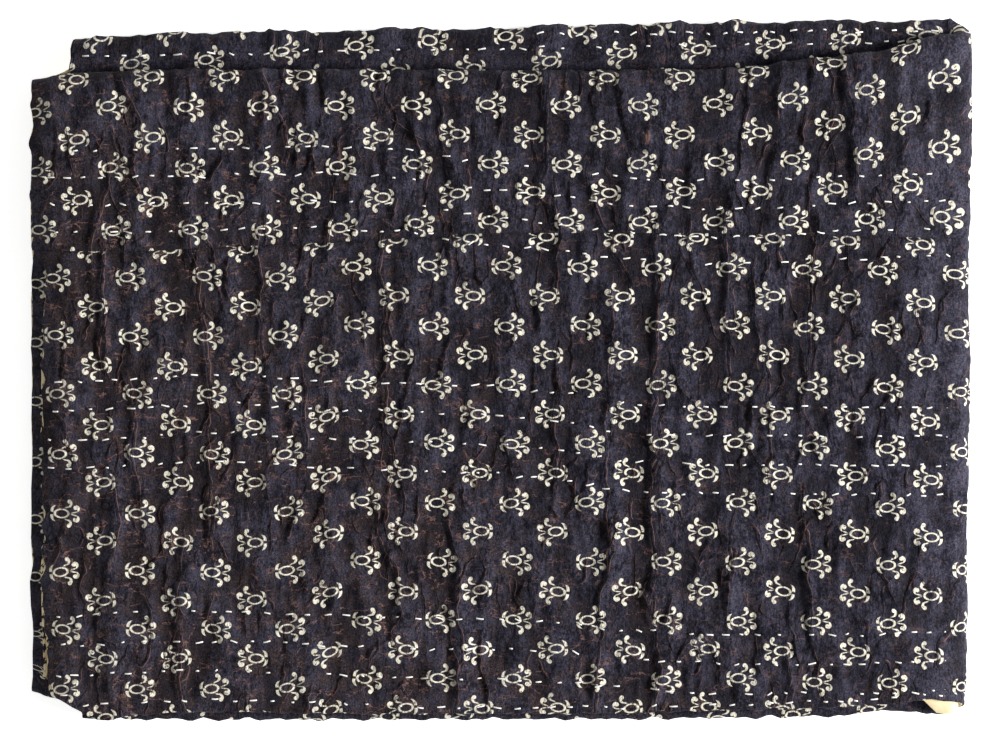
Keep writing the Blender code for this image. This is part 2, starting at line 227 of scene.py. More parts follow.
def smooth_noise(x, y, seed):
    """Gradient noise of about -0.7 to 0.7, one wave for each unit of x and y."""
    random = np.random.default_rng(seed)
    shuffled = random.permutation(LATTICE)
    angles = random.uniform(0, 2 * math.pi, LATTICE)
    x0, y0 = np.floor(x).astype(int), np.floor(y).astype(int)
    dx, dy = x - x0, y - y0

    def corner(across, up):
        index = shuffled[(shuffled[(x0 + across) % LATTICE] + y0 + up) % LATTICE]
        return np.cos(angles[index]) * (dx - across) + np.sin(angles[index]) * (dy - up)

    fade_x = dx ** 3 * (dx * (6 * dx - 15) + 10)
    fade_y = dy ** 3 * (dy * (6 * dy - 15) + 10)
    low = mix(corner(0, 0), corner(1, 0), fade_x)
    high = mix(corner(0, 1), corner(1, 1), fade_x)
    return mix(low, high, fade_y)


# Each size of noise in a cloudy field: how much finer it is, and its share of the height.
CLOUD_SIZES = ((1.0, 1.0), (2.1, 1 / 2), (4.3, 1 / 4))


def cloudy(x, y, seed):
    """Three sizes of smooth noise added together."""
    return sum(share * smooth_noise(finer * x, finer * y, seed + index)
               for index, (finer, share) in enumerate(CLOUD_SIZES))


def waves(x, y, parts, seed=0):
    """A sum of smooth noises. Each part is its height, its wave lengths in x and y, and its own seed."""
    return sum(height * smooth_noise(x / length_x, y / length_y, seed + own_seed)
               for height, length_x, length_y, own_seed in parts)


print("noise at one place:", round(float(smooth_noise(np.array(3.3), np.array(1.7), 5)), 3))

# %% [markdown]
# One function gives the section, and one gives the place of a whole row of cloth. A row is a span of the
# section and a share of the way along it. Its columns run from the left edge of the front pack, round the
# fold at the right, to the left edge of the back pack. The height `out` is measured towards the printed
# side.

# %% Carry a row of cloth to its fold
FRONT, TURN, BACK = 0, 1, 2


def nominal_y(span, share):
    """Where a row lies up the pack before its outline is given, for what changes slowly with it."""
    if span in ("run_1", "run_3"):
        return mix(SIDE_LOW_Y, SIDE_HIGH_Y, share)
    if span in ("run_2", "run_4"):
        return mix(SIDE_HIGH_Y, SIDE_LOW_Y, share)
    return SIDE_LOW_Y if span == "bottom_bend" else SIDE_HIGH_Y


def left_edge(span, share, pack):
    """Left end of a row in one pack, where 1 is the front pack's column and 2 the back pack's."""
    if span == "outer_top_bend":
        return mix(LEFT_EDGE["run_1"][-1][pack], LEFT_EDGE["run_2"][0][pack], share)
    if span == "bottom_bend":
        return LEFT_EDGE["run_2"][-1][pack]
    if span == "inner_top_bend":
        return LEFT_EDGE["run_3"][-1][pack]
    shares = [row[0] for row in LEFT_EDGE[span]]
    edges = [row[pack] for row in LEFT_EDGE[span]]
    wave = waves(np.array(share * FACE_LENGTH), np.array(pack + 0.5), LEFT_WAVES)
    fade = ease(min(share, 1.0 - share) / WAVE_FADE)
    return float(np.interp(share, shares, edges) + wave * fade)


def turn_centre(span, share):
    """Middle of the fold at the right, which leaves the outermost layer on the right side line."""
    up = (nominal_y(span, share) - SIDE_LOW_Y) / (SIDE_HIGH_Y - SIDE_LOW_Y)
    return mix(RIGHT_SIDE_LOW, RIGHT_SIDE_HIGH, up) - (PACK_HEIGHT - LAYER_DEPTH["run_1"] + FOLD_EASE)


def pack_lines(x, back):
    """The lines that the cloth is folded to, where back runs from 0 (front pack) to 1 (back pack)."""
    front_hem = curve_through(OUTLINE, FRONT_HEM, x)
    back_edge = curve_through(OUTLINE, BACK_EDGE, x)
    front_fold = curve_through(OUTLINE, FRONT_FOLD, x)
    fold = mix(front_fold, curve_through(OUTLINE, BACK_FOLD, x), back) - OUTER_BEND - FOLD_EASE
    wavy_hem = front_hem + waves(x, 0 * x, HEM_WAVES)
    front_bottom = front_hem + curve_through(INSET, FRONT_BOTTOM_BEND, x)
    bottom = mix(front_bottom, back_edge, back) + INNER_BEND + FOLD_EASE
    front_hidden = front_hem + curve_through(INSET, FRONT_HIDDEN_HEM, x)
    return {
        "hem": mix(wavy_hem, back_edge + BACK_HEM_INSET, back),
        "seam": curve_through(OUTLINE, SEAM, x),
        "fold": fold,
        "inner_fold": fold - back * curve_through(INSET, BACK_INNER_BEND, x),
        "bottom": bottom + waves(x, 0 * x, BOTTOM_WAVES),
        "hidden_hem": mix(front_hidden, back_edge + BACK_HIDDEN_HEM_INSET, back),
    }


def section(span, share, out, lines):
    """Place (y, depth) of a point of the pack's section, where out is its height towards the printed side."""
    angle = math.pi * share
    if span == "run_1":
        if share < SEAM_SHARE:
            y = mix(lines["hem"], lines["seam"], share / SEAM_SHARE)
        else:
            y = mix(lines["seam"], lines["fold"], (share - SEAM_SHARE) / (1 - SEAM_SHARE))
        return y, LAYER_DEPTH[span] - out
    if span == "outer_top_bend":
        radius = OUTER_BEND + out
        return lines["fold"] + radius * math.sin(angle), TOP_BEND_DEPTH - radius * math.cos(angle)
    if span == "run_2":
        return mix(lines["fold"], lines["bottom"], share), LAYER_DEPTH[span] + out
    if span == "bottom_bend":
        radius = INNER_BEND + out
        return lines["bottom"] - radius * math.sin(angle), BOTTOM_BEND_DEPTH + radius * math.cos(angle)
    if span == "run_3":
        return mix(lines["bottom"], lines["inner_fold"], share), LAYER_DEPTH[span] - out
    if span == "inner_top_bend":
        radius = INNER_BEND - out
        return lines["inner_fold"] + radius * math.sin(angle), TOP_BEND_DEPTH + radius * math.cos(angle)
    return mix(lines["inner_fold"], lines["hidden_hem"], share), LAYER_DEPTH[span] + out


def way_round(part, across):
    """0 in the front pack, 0 to 1 round the fold at the right, and 1 in the back pack."""
    return np.where(part == FRONT, 0.0, np.where(part == TURN, across, 1.0))


def place_row(row, columns, out):
    """Place x, y, z of a row of cloth, and its way u across the cloth.

    A row is its span, its share of the way along that, and how far it lies past the cloth's edge. The
    columns are three arrays: part of the throw, share of the way across it, and how far past the edge.
    """
    span, share, past_edge_y = row
    part, across, past_edge_x = columns
    centre = turn_centre(span, share)
    front_x = mix(left_edge(span, share, 1), centre, across)
    back_x = mix(centre, left_edge(span, share, 2), across)
    x = np.where(part == FRONT, front_x, np.where(part == TURN, centre, back_x)) - past_edge_x
    turn = way_round(part, across)
    back = ease(turn)
    y, depth = section(span, share, out, pack_lines(x, back))
    sag = SAG_DEPTH * (np.maximum(0.0, SAG_START_X - x) / SAG_REACH) ** 2
    radius = PACK_HEIGHT - depth
    front_z = PACK_HEIGHT + radius - sag
    turn_z = PACK_HEIGHT + radius * np.cos(math.pi * turn)
    back_z = depth - BACK_SAG_SHARE * sag
    z = np.where(part == FRONT, front_z, np.where(part == TURN, turn_z, back_z))
    z = (z - FLOOR_DROP) * (1 - SHOULDER_SHARE * ease((x - SHOULDER_START_X) / SHOULDER_REACH))
    u = np.where(part == FRONT, x, centre + turn * TURN_LENGTH + np.where(part == BACK, centre - x, 0.0))
    x = np.where(part == TURN, centre + radius * np.sin(math.pi * turn), x)
    return x, y + past_edge_y, z, u


# %% [markdown]
# ## Crumpled cotton
# Years of washing have shrunk the quilting thread, so the cloth between the rows is crumpled. The long
# folds are listed one by one, each as a soft trough or ridge. The many small wrinkles follow a rule instead:
# a smooth random field is zero along long wandering lines, and a sharp little pleat is raised along each of
# them. Stretching the field up the cloth makes the pleats run mostly that way, as they do on the real
# throw.

# %% Lines where a random field is zero
# Each wander of the lines: how far, its wave lengths, and its seed beside the lines' own.
LINE_WANDER = ((5.0, 17, 17, 5), (1.6, 5.2, 5.2, 6))
FIELD_STEP, LEAST_SLOPE = 0.05, 0.15


def distance_to_lines(u, v, width, length, lean, seed):
    """Signed distance in mm to long wandering lines, and how nearly upright each line is.

    Lean is the lines' angle from straight up the cloth. The distance grows to the right of every line.
    """
    across = u * math.cos(lean) + v * math.sin(lean)
    along = v * math.cos(lean) - u * math.sin(lean)
    across = across + waves(u, v, LINE_WANDER, seed)
    waves_across, waves_along = across / width, along / length
    field = smooth_noise(waves_across, waves_along, seed)
    slope_across = (smooth_noise(waves_across + FIELD_STEP, waves_along, seed) - field) / (FIELD_STEP * width)
    slope_along = (smooth_noise(waves_across, waves_along + FIELD_STEP, seed) - field) / (FIELD_STEP * length)
    steepness = np.maximum(np.hypot(slope_across, slope_along), LEAST_SLOPE / width)
    return field / steepness * np.sign(slope_across), np.abs(slope_across) / steepness


# %% [markdown]
# The long folds have the sizes read from the real face: the upper end, the lower end, half the width, and
# the rise. A fold never runs dead straight, so its middle line wanders by a few millimetres.

# %% Long folds, listed one by one
# upper end x, upper end y, lower end x, lower end y, half width, rise
LONG_FOLDS = (
    (-271, 206, -251, 169, 8, -1.6),
    (-274, 124, -288, 90, 9, -2.1),
    (-278, 83, -279, 15, 9, -2.0),
    (-220, 83, -203, -16, 10, -2.6),
    (-208, -26, -205, -108, 10, -2.3),
    (-217, -119, -226, -191, 9, 2.1),
    (-226, -184, -226, -238, 9, -2.3),
    (-260, -19, -253, -88, 9, -2.0),
    (-166, 203, -153, 155, 8, -1.7),
    (-172, 90, -168, 18, 8, -1.7),
    (-121, 124, -125, 90, 9, -2.0),
    (-87, 83, -86, 15, 9, -2.2),
    (-87, -16, -75, -88, 10, -2.5),
    (-92, -102, -73, -153, 9, -2.1),
    (-84, 176, -36, 141, 8, -1.8),
    (24, 200, 23, 128, 10, -2.6),
    (32, 121, 33, 63, 9, -2.3),
    (32, -19, 32, -68, 8, -1.8),
    (54, 128, 81, 63, 9, -2.2),
    (77, 49, 72, -102, 9, 2.6),
    (75, -109, 64, -239, 9, 2.9),
    (100, 90, 98, -74, 9, -2.6),
    (95, -88, 101, -239, 10, -2.9),
    (113, -13, 110, -105, 8, 2.3),
    (149, 118, 149, -6, 10, -2.7),
    (184, 5, 186, -88, 8, 2.0),
    (208, 94, 201, -20, 10, -2.6),
    (201, -92, 206, -167, 10, -2.6),
    (218, 169, 222, 138, 11, -2.9),
    (231, 193, 239, 138, 9, -2.2),
    (-27, -150, -27, -239, 9, 2.3),
    (160, -115, 156, -157, 8, 2.1),
    (-264, -81, -262, -115, 5, 1.2),
    (-21, 148, -21, 131, 5, 1.0),
    (125, 90, 131, 63, 5, 1.3),
    (170, 63, 173, 15, 5, -1.4),
    (197, -201, 197, -222, 5, 1.2),
    (-136, -9, -130, -43, 5, 1.3),
)
FOLD_TAPER = 14.0
FOLD_WANDER = ((6.0, 60, 24, 71), (2.0, 9, 8, 72))
LONG_SLOPE_POWER, STEEP_SIDE = 1.4, 0.42
FAR_OFF = 99.0
# A valley has a small crest at its right. The places and widths below are shares of a fold's half width,
# and the crest's rise is a share of the fold's own.
VALLEY_CREST, VALLEY_CREST_WIDTH, VALLEY_CREST_RISE = 0.75, 0.4, 0.35
RIDGE_CREST = -0.1
# The painted shade by each fold: how dark it is, and where it lies.
VALLEY_SHADE, RIDGE_SHADE = (0.5, 0.1), (0.35, -0.8)
SHADE_WIDTH, CREST_LINE_WIDTH = 0.35, 0.5


def fold_section(aside, half_width):
    """Section of a long fold, 1 at its middle: a long slope at its left and a short one at its right."""
    slope = np.exp(-(np.abs(aside) / half_width) ** LONG_SLOPE_POWER)
    drop = bell(aside, STEEP_SIDE * half_width)
    return np.where(aside < 0, slope, drop)


def long_folds(x, y):
    """Height of the long folds, distance to their upper edges, their strength, and their painted shade."""
    height, strength, painted_shade = np.zeros_like(x), np.zeros_like(x), np.zeros_like(x)
    distance = np.full_like(x, FAR_OFF)
    wander = waves(x, y, FOLD_WANDER)
    for top_x, top_y, low_x, low_y, half_width, rise in LONG_FOLDS:
        down = np.clip((top_y - y) / (top_y - low_y), 0.0, 1.0)
        aside = x - mix(top_x, low_x, down) + wander
        past_end = np.maximum(np.maximum(y - top_y, low_y - y), 0.0)
        taper = bell(past_end, FOLD_TAPER)
        if rise < 0:
            height += rise * taper * fold_section(aside, half_width)
            edge = aside - VALLEY_CREST * half_width
            height -= VALLEY_CREST_RISE * rise * taper * bell(edge, VALLEY_CREST_WIDTH * half_width)
            shade, shade_place = VALLEY_SHADE
        else:
            height += rise * taper * fold_section(-aside, half_width)
            edge = aside - RIDGE_CREST * half_width
            shade, shade_place = RIDGE_SHADE
        painted_shade += shade * taper * bell(aside - shade_place * half_width, SHADE_WIDTH * half_width)
        here = taper * bell(edge, CREST_LINE_WIDTH * half_width)
        stronger = here > strength
        strength = np.where(stronger, here, strength)
        distance = np.where(stronger, edge, distance)
    return height, distance, strength, painted_shade


print("long folds:", len(LONG_FOLDS))

# %% [markdown]
# Rows of stitches pull the cloth down to its backing, so the relief is a puff that is pinned along each
# row. The rows come in groups, with plain bands between them.

# %% Rows of stitches
# Each group: height of its first row at the left, number of rows, distance between them.
STITCH_GROUPS = ((151.7, 4, 18.7), (-6.5, 4, 19.8), (-166.8, 4, 20.2))
# station, how far each group of rows has drifted up there
STITCH_DRIFT = np.array((
    (-320, 0.0, -1.0, -1.5),
    (-275, 0.0, 0.0, 0.5),
    (-193, 1.5, 4.5, 2.5),
    (-131, 2.5, 0.5, 0.5),
    (-70, 0.5, -1.5, -2.5),
    (-20, -7.0, -3.0, -3.0),
    (40, -13.0, -8.0, -5.5),
    (101, -20.0, -17.0, -11.0),
    (150, -21.5, -17.5, -13.5),
    (230, -18.5, -18.0, -13.5),
    (320, -15.5, -18.5, -11.0),
))
LOWEST_ROW_ABOVE_HEM = 3.5
STITCH_TROUGH_DEPTH, STITCH_TROUGH_WIDTH = 0.8, 3.6


def stitch_row_heights(x):
    """The height y of every row of stitches at stations x, from the top row down."""
    rows = []
    for group, (first, count, pitch) in enumerate(STITCH_GROUPS):
        drift = curve_through(STITCH_DRIFT, group + 1, x)
        rows += [first - row * pitch + drift for row in range(count)]
    lowest = curve_through(OUTLINE, FRONT_HEM, x) + LOWEST_ROW_ABOVE_HEM
    return [np.maximum(row, lowest) for row in rows]


def stitch_pull(x, y):
    """How far the rows of stitches pull the cloth down at a place."""
    pull = np.zeros_like(x)
    for row in stitch_row_heights(x):
        pull = np.maximum(pull, STITCH_TROUGH_DEPTH * bell(y - row, STITCH_TROUGH_WIDTH))
    return pull


# %% [markdown]
# Each small pleat is a little step: a valley with a crest just to its right. Four sets of them, each with
# its own lean, cross one another. Patches of a slower random field switch them on and off, so no two
# stretches of cloth look alike.

# %% Small pleats
PUFF_HEIGHT = 2.8
PUFF_RISE, PUFF_STEEPNESS = 2.0, 2.4
# Puffs and dimples: lengths across and along the cloth, and seed.
PUFF_SIZE, DIMPLE_SIZE = (17, 60, 91), (8, 11, 95)
DIMPLE_RISE = 0.9
# width, length, lean, seed, valley to crest, height, and how common each set of small pleats is
PLEATS = (
    (21.0, 80.0, 0.03, 11, 3.4, 1.6, 0.10),
    (14.0, 34.0, -0.12, 31, 2.2, 1.2, -0.04),
    (13.0, 24.0, 0.75, 51, 1.9, 0.8, -0.14),
    (13.0, 22.0, -0.75, 111, 1.9, 0.8, -0.14),
)
# The patches that switch the pleats on, how soft their edges are, and how upright a line is at full height.
PLEAT_PATCHES = ((1.0, 31, 43, 7), (0.6, 13, 17, 8))
PATCH_EDGE, FULL_UPRIGHT = 0.36, 0.7
# Each part of a pleat: its height or strength, and its place and width in reaches from the pleat's line.
# The shade of a pleat is painted shade in the colour of its valley.
PLEAT_CREST, PLEAT_VALLEY, PLEAT_SHADE = (0.75, 1.0, 0.85), (-0.8, -0.15, 0.6), (0.55, -0.1, 0.45)
CREST_LINE_PLACE = 0.8


def beside_line(distance, reach, part):
    """One part of a pleat's section: a soft ridge or groove beside its line."""
    height, place, width = part
    return height * bell(distance - place * reach, width * reach)


def crumple(u, v):
    """Height of the small pleats, distance to each set's crests, their strength, and their painted shade."""
    height, painted_shade = np.zeros_like(u), np.zeros_like(u)
    distances, strengths = [], []
    for width, length, lean, seed, reach, rise, common in PLEATS:
        distance, upright = distance_to_lines(u, v, width, length, lean, seed)
        patchy = waves(u, v, PLEAT_PATCHES, seed)
        strength = ease((patchy + common) / PATCH_EDGE) * ease(upright / FULL_UPRIGHT)
        pleat = beside_line(distance, reach, PLEAT_CREST) + beside_line(distance, reach, PLEAT_VALLEY)
        height += rise * strength * pleat
        painted_shade += strength * beside_line(distance, reach, PLEAT_SHADE)
        distances.append(distance - CREST_LINE_PLACE * reach)
        strengths.append(strength)
    puffs, dimples = (cloudy(u / across, v / along, seed) for across, along, seed in (PUFF_SIZE, DIMPLE_SIZE))
    height += PUFF_RISE * np.tanh(PUFF_STEEPNESS * puffs) + DIMPLE_RISE * dimples
    return height, distances, strengths, painted_shade


# %% [markdown]
# ## Laying a sheet
# A sheet is a grid of columns and rows. It is one thin surface, so its edges would look like paper. A maker
# turns the raw edge under, and so does this script: a few extra rows and columns curl over the edge and
# back inside.

# %% Steps across and along the cloth
# Usual width of each pack, which the number of columns is worked out from.
FRONT_WIDTH, BACK_WIDTH = 630, 600
# Each step of a turned edge: how far it lies past the edge, and its share of the cloth's height. The two
# panels meet at the seam, so their edges there turn under more closely.
TURNED_EDGE = ((-3.5, 0.0), (-0.3, 0.04), (0.35, 0.25), (0.5, 0.55), (0.25, 0.85))
HALF_TURNED_EDGE = ((-0.6, 0.0), (-0.06, 0.3), (-0.03, 0.6), (-0.04, 0.85))


def side_columns(front_step, turn_steps, back_step):
    """Columns from edge to edge as arrays: part, share, how far past the edge, share of the height."""
    front_count, back_count = round(FRONT_WIDTH / front_step), round(BACK_WIDTH / back_step)
    edge = [(FRONT, 0.0, past, rise) for past, rise in TURNED_EDGE]
    front = [(FRONT, share, 0.0, 1.0) for share in np.linspace(0.0015, 1.0, front_count)]
    turn = [(TURN, step / turn_steps, 0.0, 1.0) for step in range(1, turn_steps + 1)]
    back = [(BACK, share, 0.0, 1.0) for share in np.linspace(0.0, 0.9985, back_count)[1:]]
    far_edge = [(BACK, 1.0, past, rise) for past, rise in reversed(TURNED_EDGE)]
    part, share, past, rise = zip(*(edge + front + turn + back + far_edge))
    return (np.array(part), np.array(share), np.array(past)), np.array(rise)


def edge_rows(span, share, way, profile):
    """Rows that curl over an edge of the cloth. Way is +1 where the cloth ends upwards and -1 downwards."""
    return [(span, share, way * past, rise) for past, rise in profile]


def run_rows(span, start, end, count):
    return [(span, share, 0.0, 1.0) for share in np.linspace(start, end, count)]


def bend_rows(span, count):
    return run_rows(span, 1 / count, 1.0, count)


# The rows behind the face. They are close together on run 2 only where its strip shows.
HIDDEN_ROWS = (
    bend_rows("outer_top_bend", 9)
    + run_rows("run_2", 0.004, 0.11, 22) + run_rows("run_2", 0.15, 1.0, 18)
    + bend_rows("bottom_bend", 5)
    + run_rows("run_3", 0.02, 1.0, 26)
    + bend_rows("inner_top_bend", 4)
    + run_rows("run_4", 0.04, 0.99, 12)
    + edge_rows("run_4", 1.0, -1, TURNED_EDGE[::-1])
)

# %% [markdown]
# The sheet is laid in two passes. The first finds where each point lies on the smooth fold, which also
# tells how far along the cloth it is. The second lifts each point by its relief and folds it again.

# %% Lay a sheet with its relief
# How much of the puff is left at the edges, and at the seam before it is eased. The reach is how far in
# it grows back.
EDGE_PUFF, EDGE_PUFF_REACH = 0.25, 16.0
SEAM_PUFF, SEAM_PUFF_REACH = 0.15, 4.5
# Shares of the way round a bend: where the face has lost its relief, at the right and at the top, and
# where the strip's own relief starts and how soon it is full.
TURN_FADE, TOP_FADE = 0.9, 0.8
STRIP_RISE_START, STRIP_RISE_REACH = 0.4, 0.3
STRIP_START, STRIP_REACH = 3.0, 9.0
FULL_CREST = 2.0


def lay_flat(rows, columns, out):
    """Places of the smooth fold: arrays x, y, z and u, one row of each for each row of cloth."""
    placed = [place_row(row[:3], columns, out) for row in rows]
    return [np.array(values) for values in zip(*placed)]


def length_from(rows_y, rows_z, start):
    """Length along the cloth of each row, measured from one of them."""
    steps = np.hypot(np.diff(rows_y, axis=0), np.diff(rows_z, axis=0))
    length = np.vstack((np.zeros_like(rows_y[:1]), np.cumsum(steps, axis=0)))
    return length - length[start]


def face_weight(rows, columns, x, y):
    """1 where the printed cloth lies open to view, falling to 0 where layers press on it."""
    part, across, _ = columns
    turn = way_round(part, across)
    in_front = 1 - ease(turn / TURN_FADE)
    weight = np.zeros_like(x)
    past_front = y - (curve_through(OUTLINE, FRONT_FOLD, x) + STRIP_START)
    strip = ease(past_front / STRIP_REACH) * (turn > 0.5)
    for index, row in enumerate(rows):
        span, share = row[0], row[1]
        if span == "run_1":
            weight[index] = in_front
        elif span == "outer_top_bend":
            on_strip = ease((share - STRIP_RISE_START) / STRIP_RISE_REACH) * strip[index]
            weight[index] = np.maximum(in_front * (1 - ease(share / TOP_FADE)), on_strip)
        elif span == "run_2":
            weight[index] = strip[index]
    return weight


def row_puff(span, share):
    """The puff of one row: flatter by the front hem and the seam, where the cloths are sewn together."""
    if span != "run_1":
        return 1.0
    hem = mix(EDGE_PUFF, 1.0, ease(share * FACE_LENGTH / EDGE_PUFF_REACH))
    seam = ease(SEAM_PUFF + abs(share - SEAM_SHARE) * FACE_LENGTH / SEAM_PUFF_REACH)
    return float(hem) * float(seam)


def edge_puff(columns, rows):
    """The puff of each point of the grid, flatter by the side edges too."""
    part, across, _ = columns
    from_left = np.where(part == FRONT, across * FRONT_WIDTH, (1 - across) * BACK_WIDTH)
    from_side = np.where(part == TURN, FAR_OFF, from_left)
    side = mix(EDGE_PUFF, 1.0, ease(from_side / EDGE_PUFF_REACH))
    return side[None, :] * np.array([row_puff(row[0], row[1]) for row in rows])[:, None]


def lay_at_heights(rows, columns, rises, inner, face):
    """Places x, y, z of a sheet at its height inside, which sinks to the inner height at its edges."""
    row_rise = np.array([row[3] for row in rows])
    out = inner + (face - inner) * row_rise[:, None] * rises[None, :]
    placed = [place_row(row[:3], columns, out[index]) for index, row in enumerate(rows)]
    return [np.array(values) for values in list(zip(*placed))[:3]]


def lay_printed(rows, columns, rises, face, inner, length_start):
    """The printed cloth with its relief. Returns its places and what its material needs."""
    flat_x, flat_y, flat_z, u = lay_flat(rows, columns, face)
    v = length_from(flat_y, flat_z, length_start)
    weight = face_weight(rows, columns, flat_x, flat_y)
    on_front = (weight > 0) * (columns[0] != BACK)
    folds, fold_distance, fold_strength, fold_painted_shade = long_folds(flat_x, flat_y)
    pleats, distances, strengths, painted_shade = crumple(u, v)
    relief = PUFF_HEIGHT + pleats + on_front * (folds - stitch_pull(flat_x, flat_y))
    relief = weight * edge_puff(columns, rows) * np.maximum(relief, 0.0)
    x, y, z = lay_at_heights(rows, columns, rises, inner, face + relief)
    lines = np.stack((distances[0], distances[1], fold_distance), axis=-1)
    strength = np.stack((strengths[0], strengths[1], fold_strength * on_front), axis=-1) * weight[..., None]
    crest = np.clip((pleats + folds * on_front) / FULL_CREST, -1, 1)
    # Painted shade from the small pleats and the long folds.
    painted_shade = painted_shade + fold_painted_shade * on_front
    # The material reads three numbers from each point: the painted shade, the crest's height, and a spare
    # one.
    shade_and_crest = np.stack((painted_shade, crest, 0 * crest), axis=-1) * weight[..., None]
    return {"x": x, "y": y, "z": z, "u": u, "v": v, "flat_x": flat_x, "flat_y": flat_y,
            "crease_distance": lines, "crease_strength": strength, "shade_and_crest": shade_and_crest}


# %% [markdown]
# A grid of places becomes a mesh of four-sided faces. The print and the wrinkle lines are kept with the
# points as attributes, so the material can follow the cloth round every fold.

# %% Turn a grid into a mesh


def grid_mesh(name, laid, flip, material):
    """A mesh object from a grid of places in millimetres."""
    rows, columns = laid["x"].shape
    points = np.stack((laid["x"] - THROW_MIDDLE[0], laid["y"] - THROW_MIDDLE[1], laid["z"]), axis=-1)
    index = np.arange(rows * columns).reshape(rows, columns)
    corners = [index[:-1, :-1], index[:-1, 1:], index[1:, 1:], index[1:, :-1]]
    if flip:
        corners.reverse()
    faces = np.stack(corners, axis=-1).reshape(-1, 4)
    mesh = bpy.data.meshes.new(name)
    mesh.from_pydata((points.reshape(-1, 3) * MM).tolist(), [], faces.tolist())
    mesh.shade_smooth()
    mesh.materials.append(material)
    piece = bpy.data.objects.new(name, mesh)
    bpy.context.scene.collection.objects.link(piece)
    print(name, "triangles:", 2 * len(faces))
    return piece


def keep_on_points(piece, name, values):
    """Stores three numbers on each point of a piece, for its material to read."""
    attribute = piece.data.attributes.new(name, "FLOAT_VECTOR", "POINT")
    attribute.data.foreach_set("vector", np.asarray(values, dtype=np.float32).reshape(-1))


# %% [markdown]
# ## Materials
# Small helpers keep the node trees short to write. `number` and `vector` add one maths node each and join
# up whatever they are given. A noise texture's settings are kept as one named row: its scale, its detail
# and its roughness, which is 0.5 where it is left out.

# %% Helpers for node trees


def add_node(tree, kind, **settings):
    node = tree.nodes.new(kind)
    for name, value in settings.items():
        setattr(node, name, value)
    return node


def join(tree, value, socket):
    """Sets a socket to a plain value, or links it to another socket."""
    if isinstance(value, bpy.types.NodeSocket):
        tree.links.new(value, socket)
    else:
        socket.default_value = value


def number(tree, operation, *values, clamp=False):
    node = add_node(tree, "ShaderNodeMath", operation=operation, use_clamp=clamp)
    for value, socket in zip(values, node.inputs):
        join(tree, value, socket)
    return node.outputs[0]


def vector(tree, operation, *values):
    node = add_node(tree, "ShaderNodeVectorMath", operation=operation)
    for value, socket in zip(values, node.inputs):
        join(tree, value, socket)
    return node.outputs["Value" if operation in ("DISTANCE", "LENGTH", "DOT_PRODUCT") else "Vector"]


def parts_of(tree, value):
    node = add_node(tree, "ShaderNodeSeparateXYZ")
    join(tree, value, node.inputs[0])
    return node.outputs["X"], node.outputs["Y"], node.outputs["Z"]


def vector_of(tree, x, y, z=0.0):
    node = add_node(tree, "ShaderNodeCombineXYZ")
    for value, socket in zip((x, y, z), node.inputs):
        join(tree, value, socket)
    return node.outputs[0]


def distance_from(tree, value, target):
    return number(tree, "ABSOLUTE", number(tree, "SUBTRACT", value, target))


def rest_of(tree, share):
    """What a share leaves of 1."""
    return number(tree, "SUBTRACT", 1.0, share)


def weighed_sum(tree, *pairs):
    """The sum of some values, each times its weight."""
    total = 0.0
    for value, weight in pairs:
        total = number(tree, "ADD", total, number(tree, "MULTIPLY", value, weight))
    return total


def step_up(tree, value, low, high):
    """0 below low, 1 above high, smooth between."""
    node = add_node(tree, "ShaderNodeMapRange", interpolation_type="SMOOTHSTEP")
    for entry, socket in zip((value, low, high, 0.0, 1.0), node.inputs):
        join(tree, entry, socket)
    return node.outputs[0]


def texture_noise(tree, place, scale, detail, roughness=0.5):
    node = add_node(tree, "ShaderNodeTexNoise", noise_dimensions="3D")
    join(tree, place, node.inputs["Vector"])
    for name, value in (("Scale", scale), ("Detail", detail), ("Roughness", roughness)):
        node.inputs[name].default_value = value
    return node.outputs["Fac"]


def blend_colour(tree, share, first, second):
    node = add_node(tree, "ShaderNodeMix", data_type="RGBA")
    join(tree, share, node.inputs["Factor"])
    join(tree, first, node.inputs["A"])
    join(tree, second, node.inputs["B"])
    return node.outputs["Result"]


def attribute(tree, name):
    return add_node(tree, "ShaderNodeAttribute", attribute_name=name).outputs["Vector"]


def new_material(name):
    material = bpy.data.materials.new(name)
    material.use_nodes = True
    return material, material.node_tree, material.node_tree.nodes["Principled BSDF"]


def finish_cloth(tree, shader, colour, roughness, height, bump_distance):
    """Joins a colour and a bump to a matt shader."""
    join(tree, colour, shader.inputs["Base Color"])
    shader.inputs["Roughness"].default_value = roughness
    bump = add_node(tree, "ShaderNodeBump")
    bump.inputs["Distance"].default_value = bump_distance
    join(tree, height, bump.inputs["Height"])
    join(tree, bump.outputs[0], shader.inputs["Normal"])


# %% [markdown]
# The print is a small block-printed sprig: an oval ring, two leaves at one end, and four commas at the
# other. It is drawn with a few simple shapes, in millimetres. A leaf is a crescent, inside one circle and
# outside another. A comma is a thicker crescent with a round bulb at one end and a long thin oval for its
# tail. The sprig is the same above and below its middle, so half of it is drawn and mirrored.

# %% The printed sprig
RING_HALF_LENGTH, RING_HALF_HEIGHT, RING_LINE = 4.75, 2.85, 0.56
LEAF_OUTER, LEAF_INNER, LEAF_FOOT = ((-4.1, 1.7), 3.75), ((-0.97, 1.9), 4.83), 0.9
# Each comma: bulb, outer circle, inner circle, end of the crescent with the way it is cut, tail.
# A circle is its centre and radius. A tail is its middle, half length, half width and slope in radians.
COMMAS = (
    (((5.3, 8.3), 1.4), ((4.6, 6.9), 2.8), ((3.5, 6.6), 2.05), ((2.2, 4.9), (0.855, -0.52, 0.0)),
     ((4.0, 4.35), 1.8, 0.4, 0.36)),
    (((9.5, 4.1), 1.4), ((10.1, 3.5), 2.4), ((9.5, 2.3), 1.35), ((8.6, 1.0), (0.966, -0.26, 0.0)),
     ((8.9, 0.95), 2.0, 0.36, 0.26)),
)
PRINT_SOFTNESS = 0.2
# Millimetres for each unit of the ring's squeezed distance, as a share of its half height.
RING_EVENNESS = 1.2


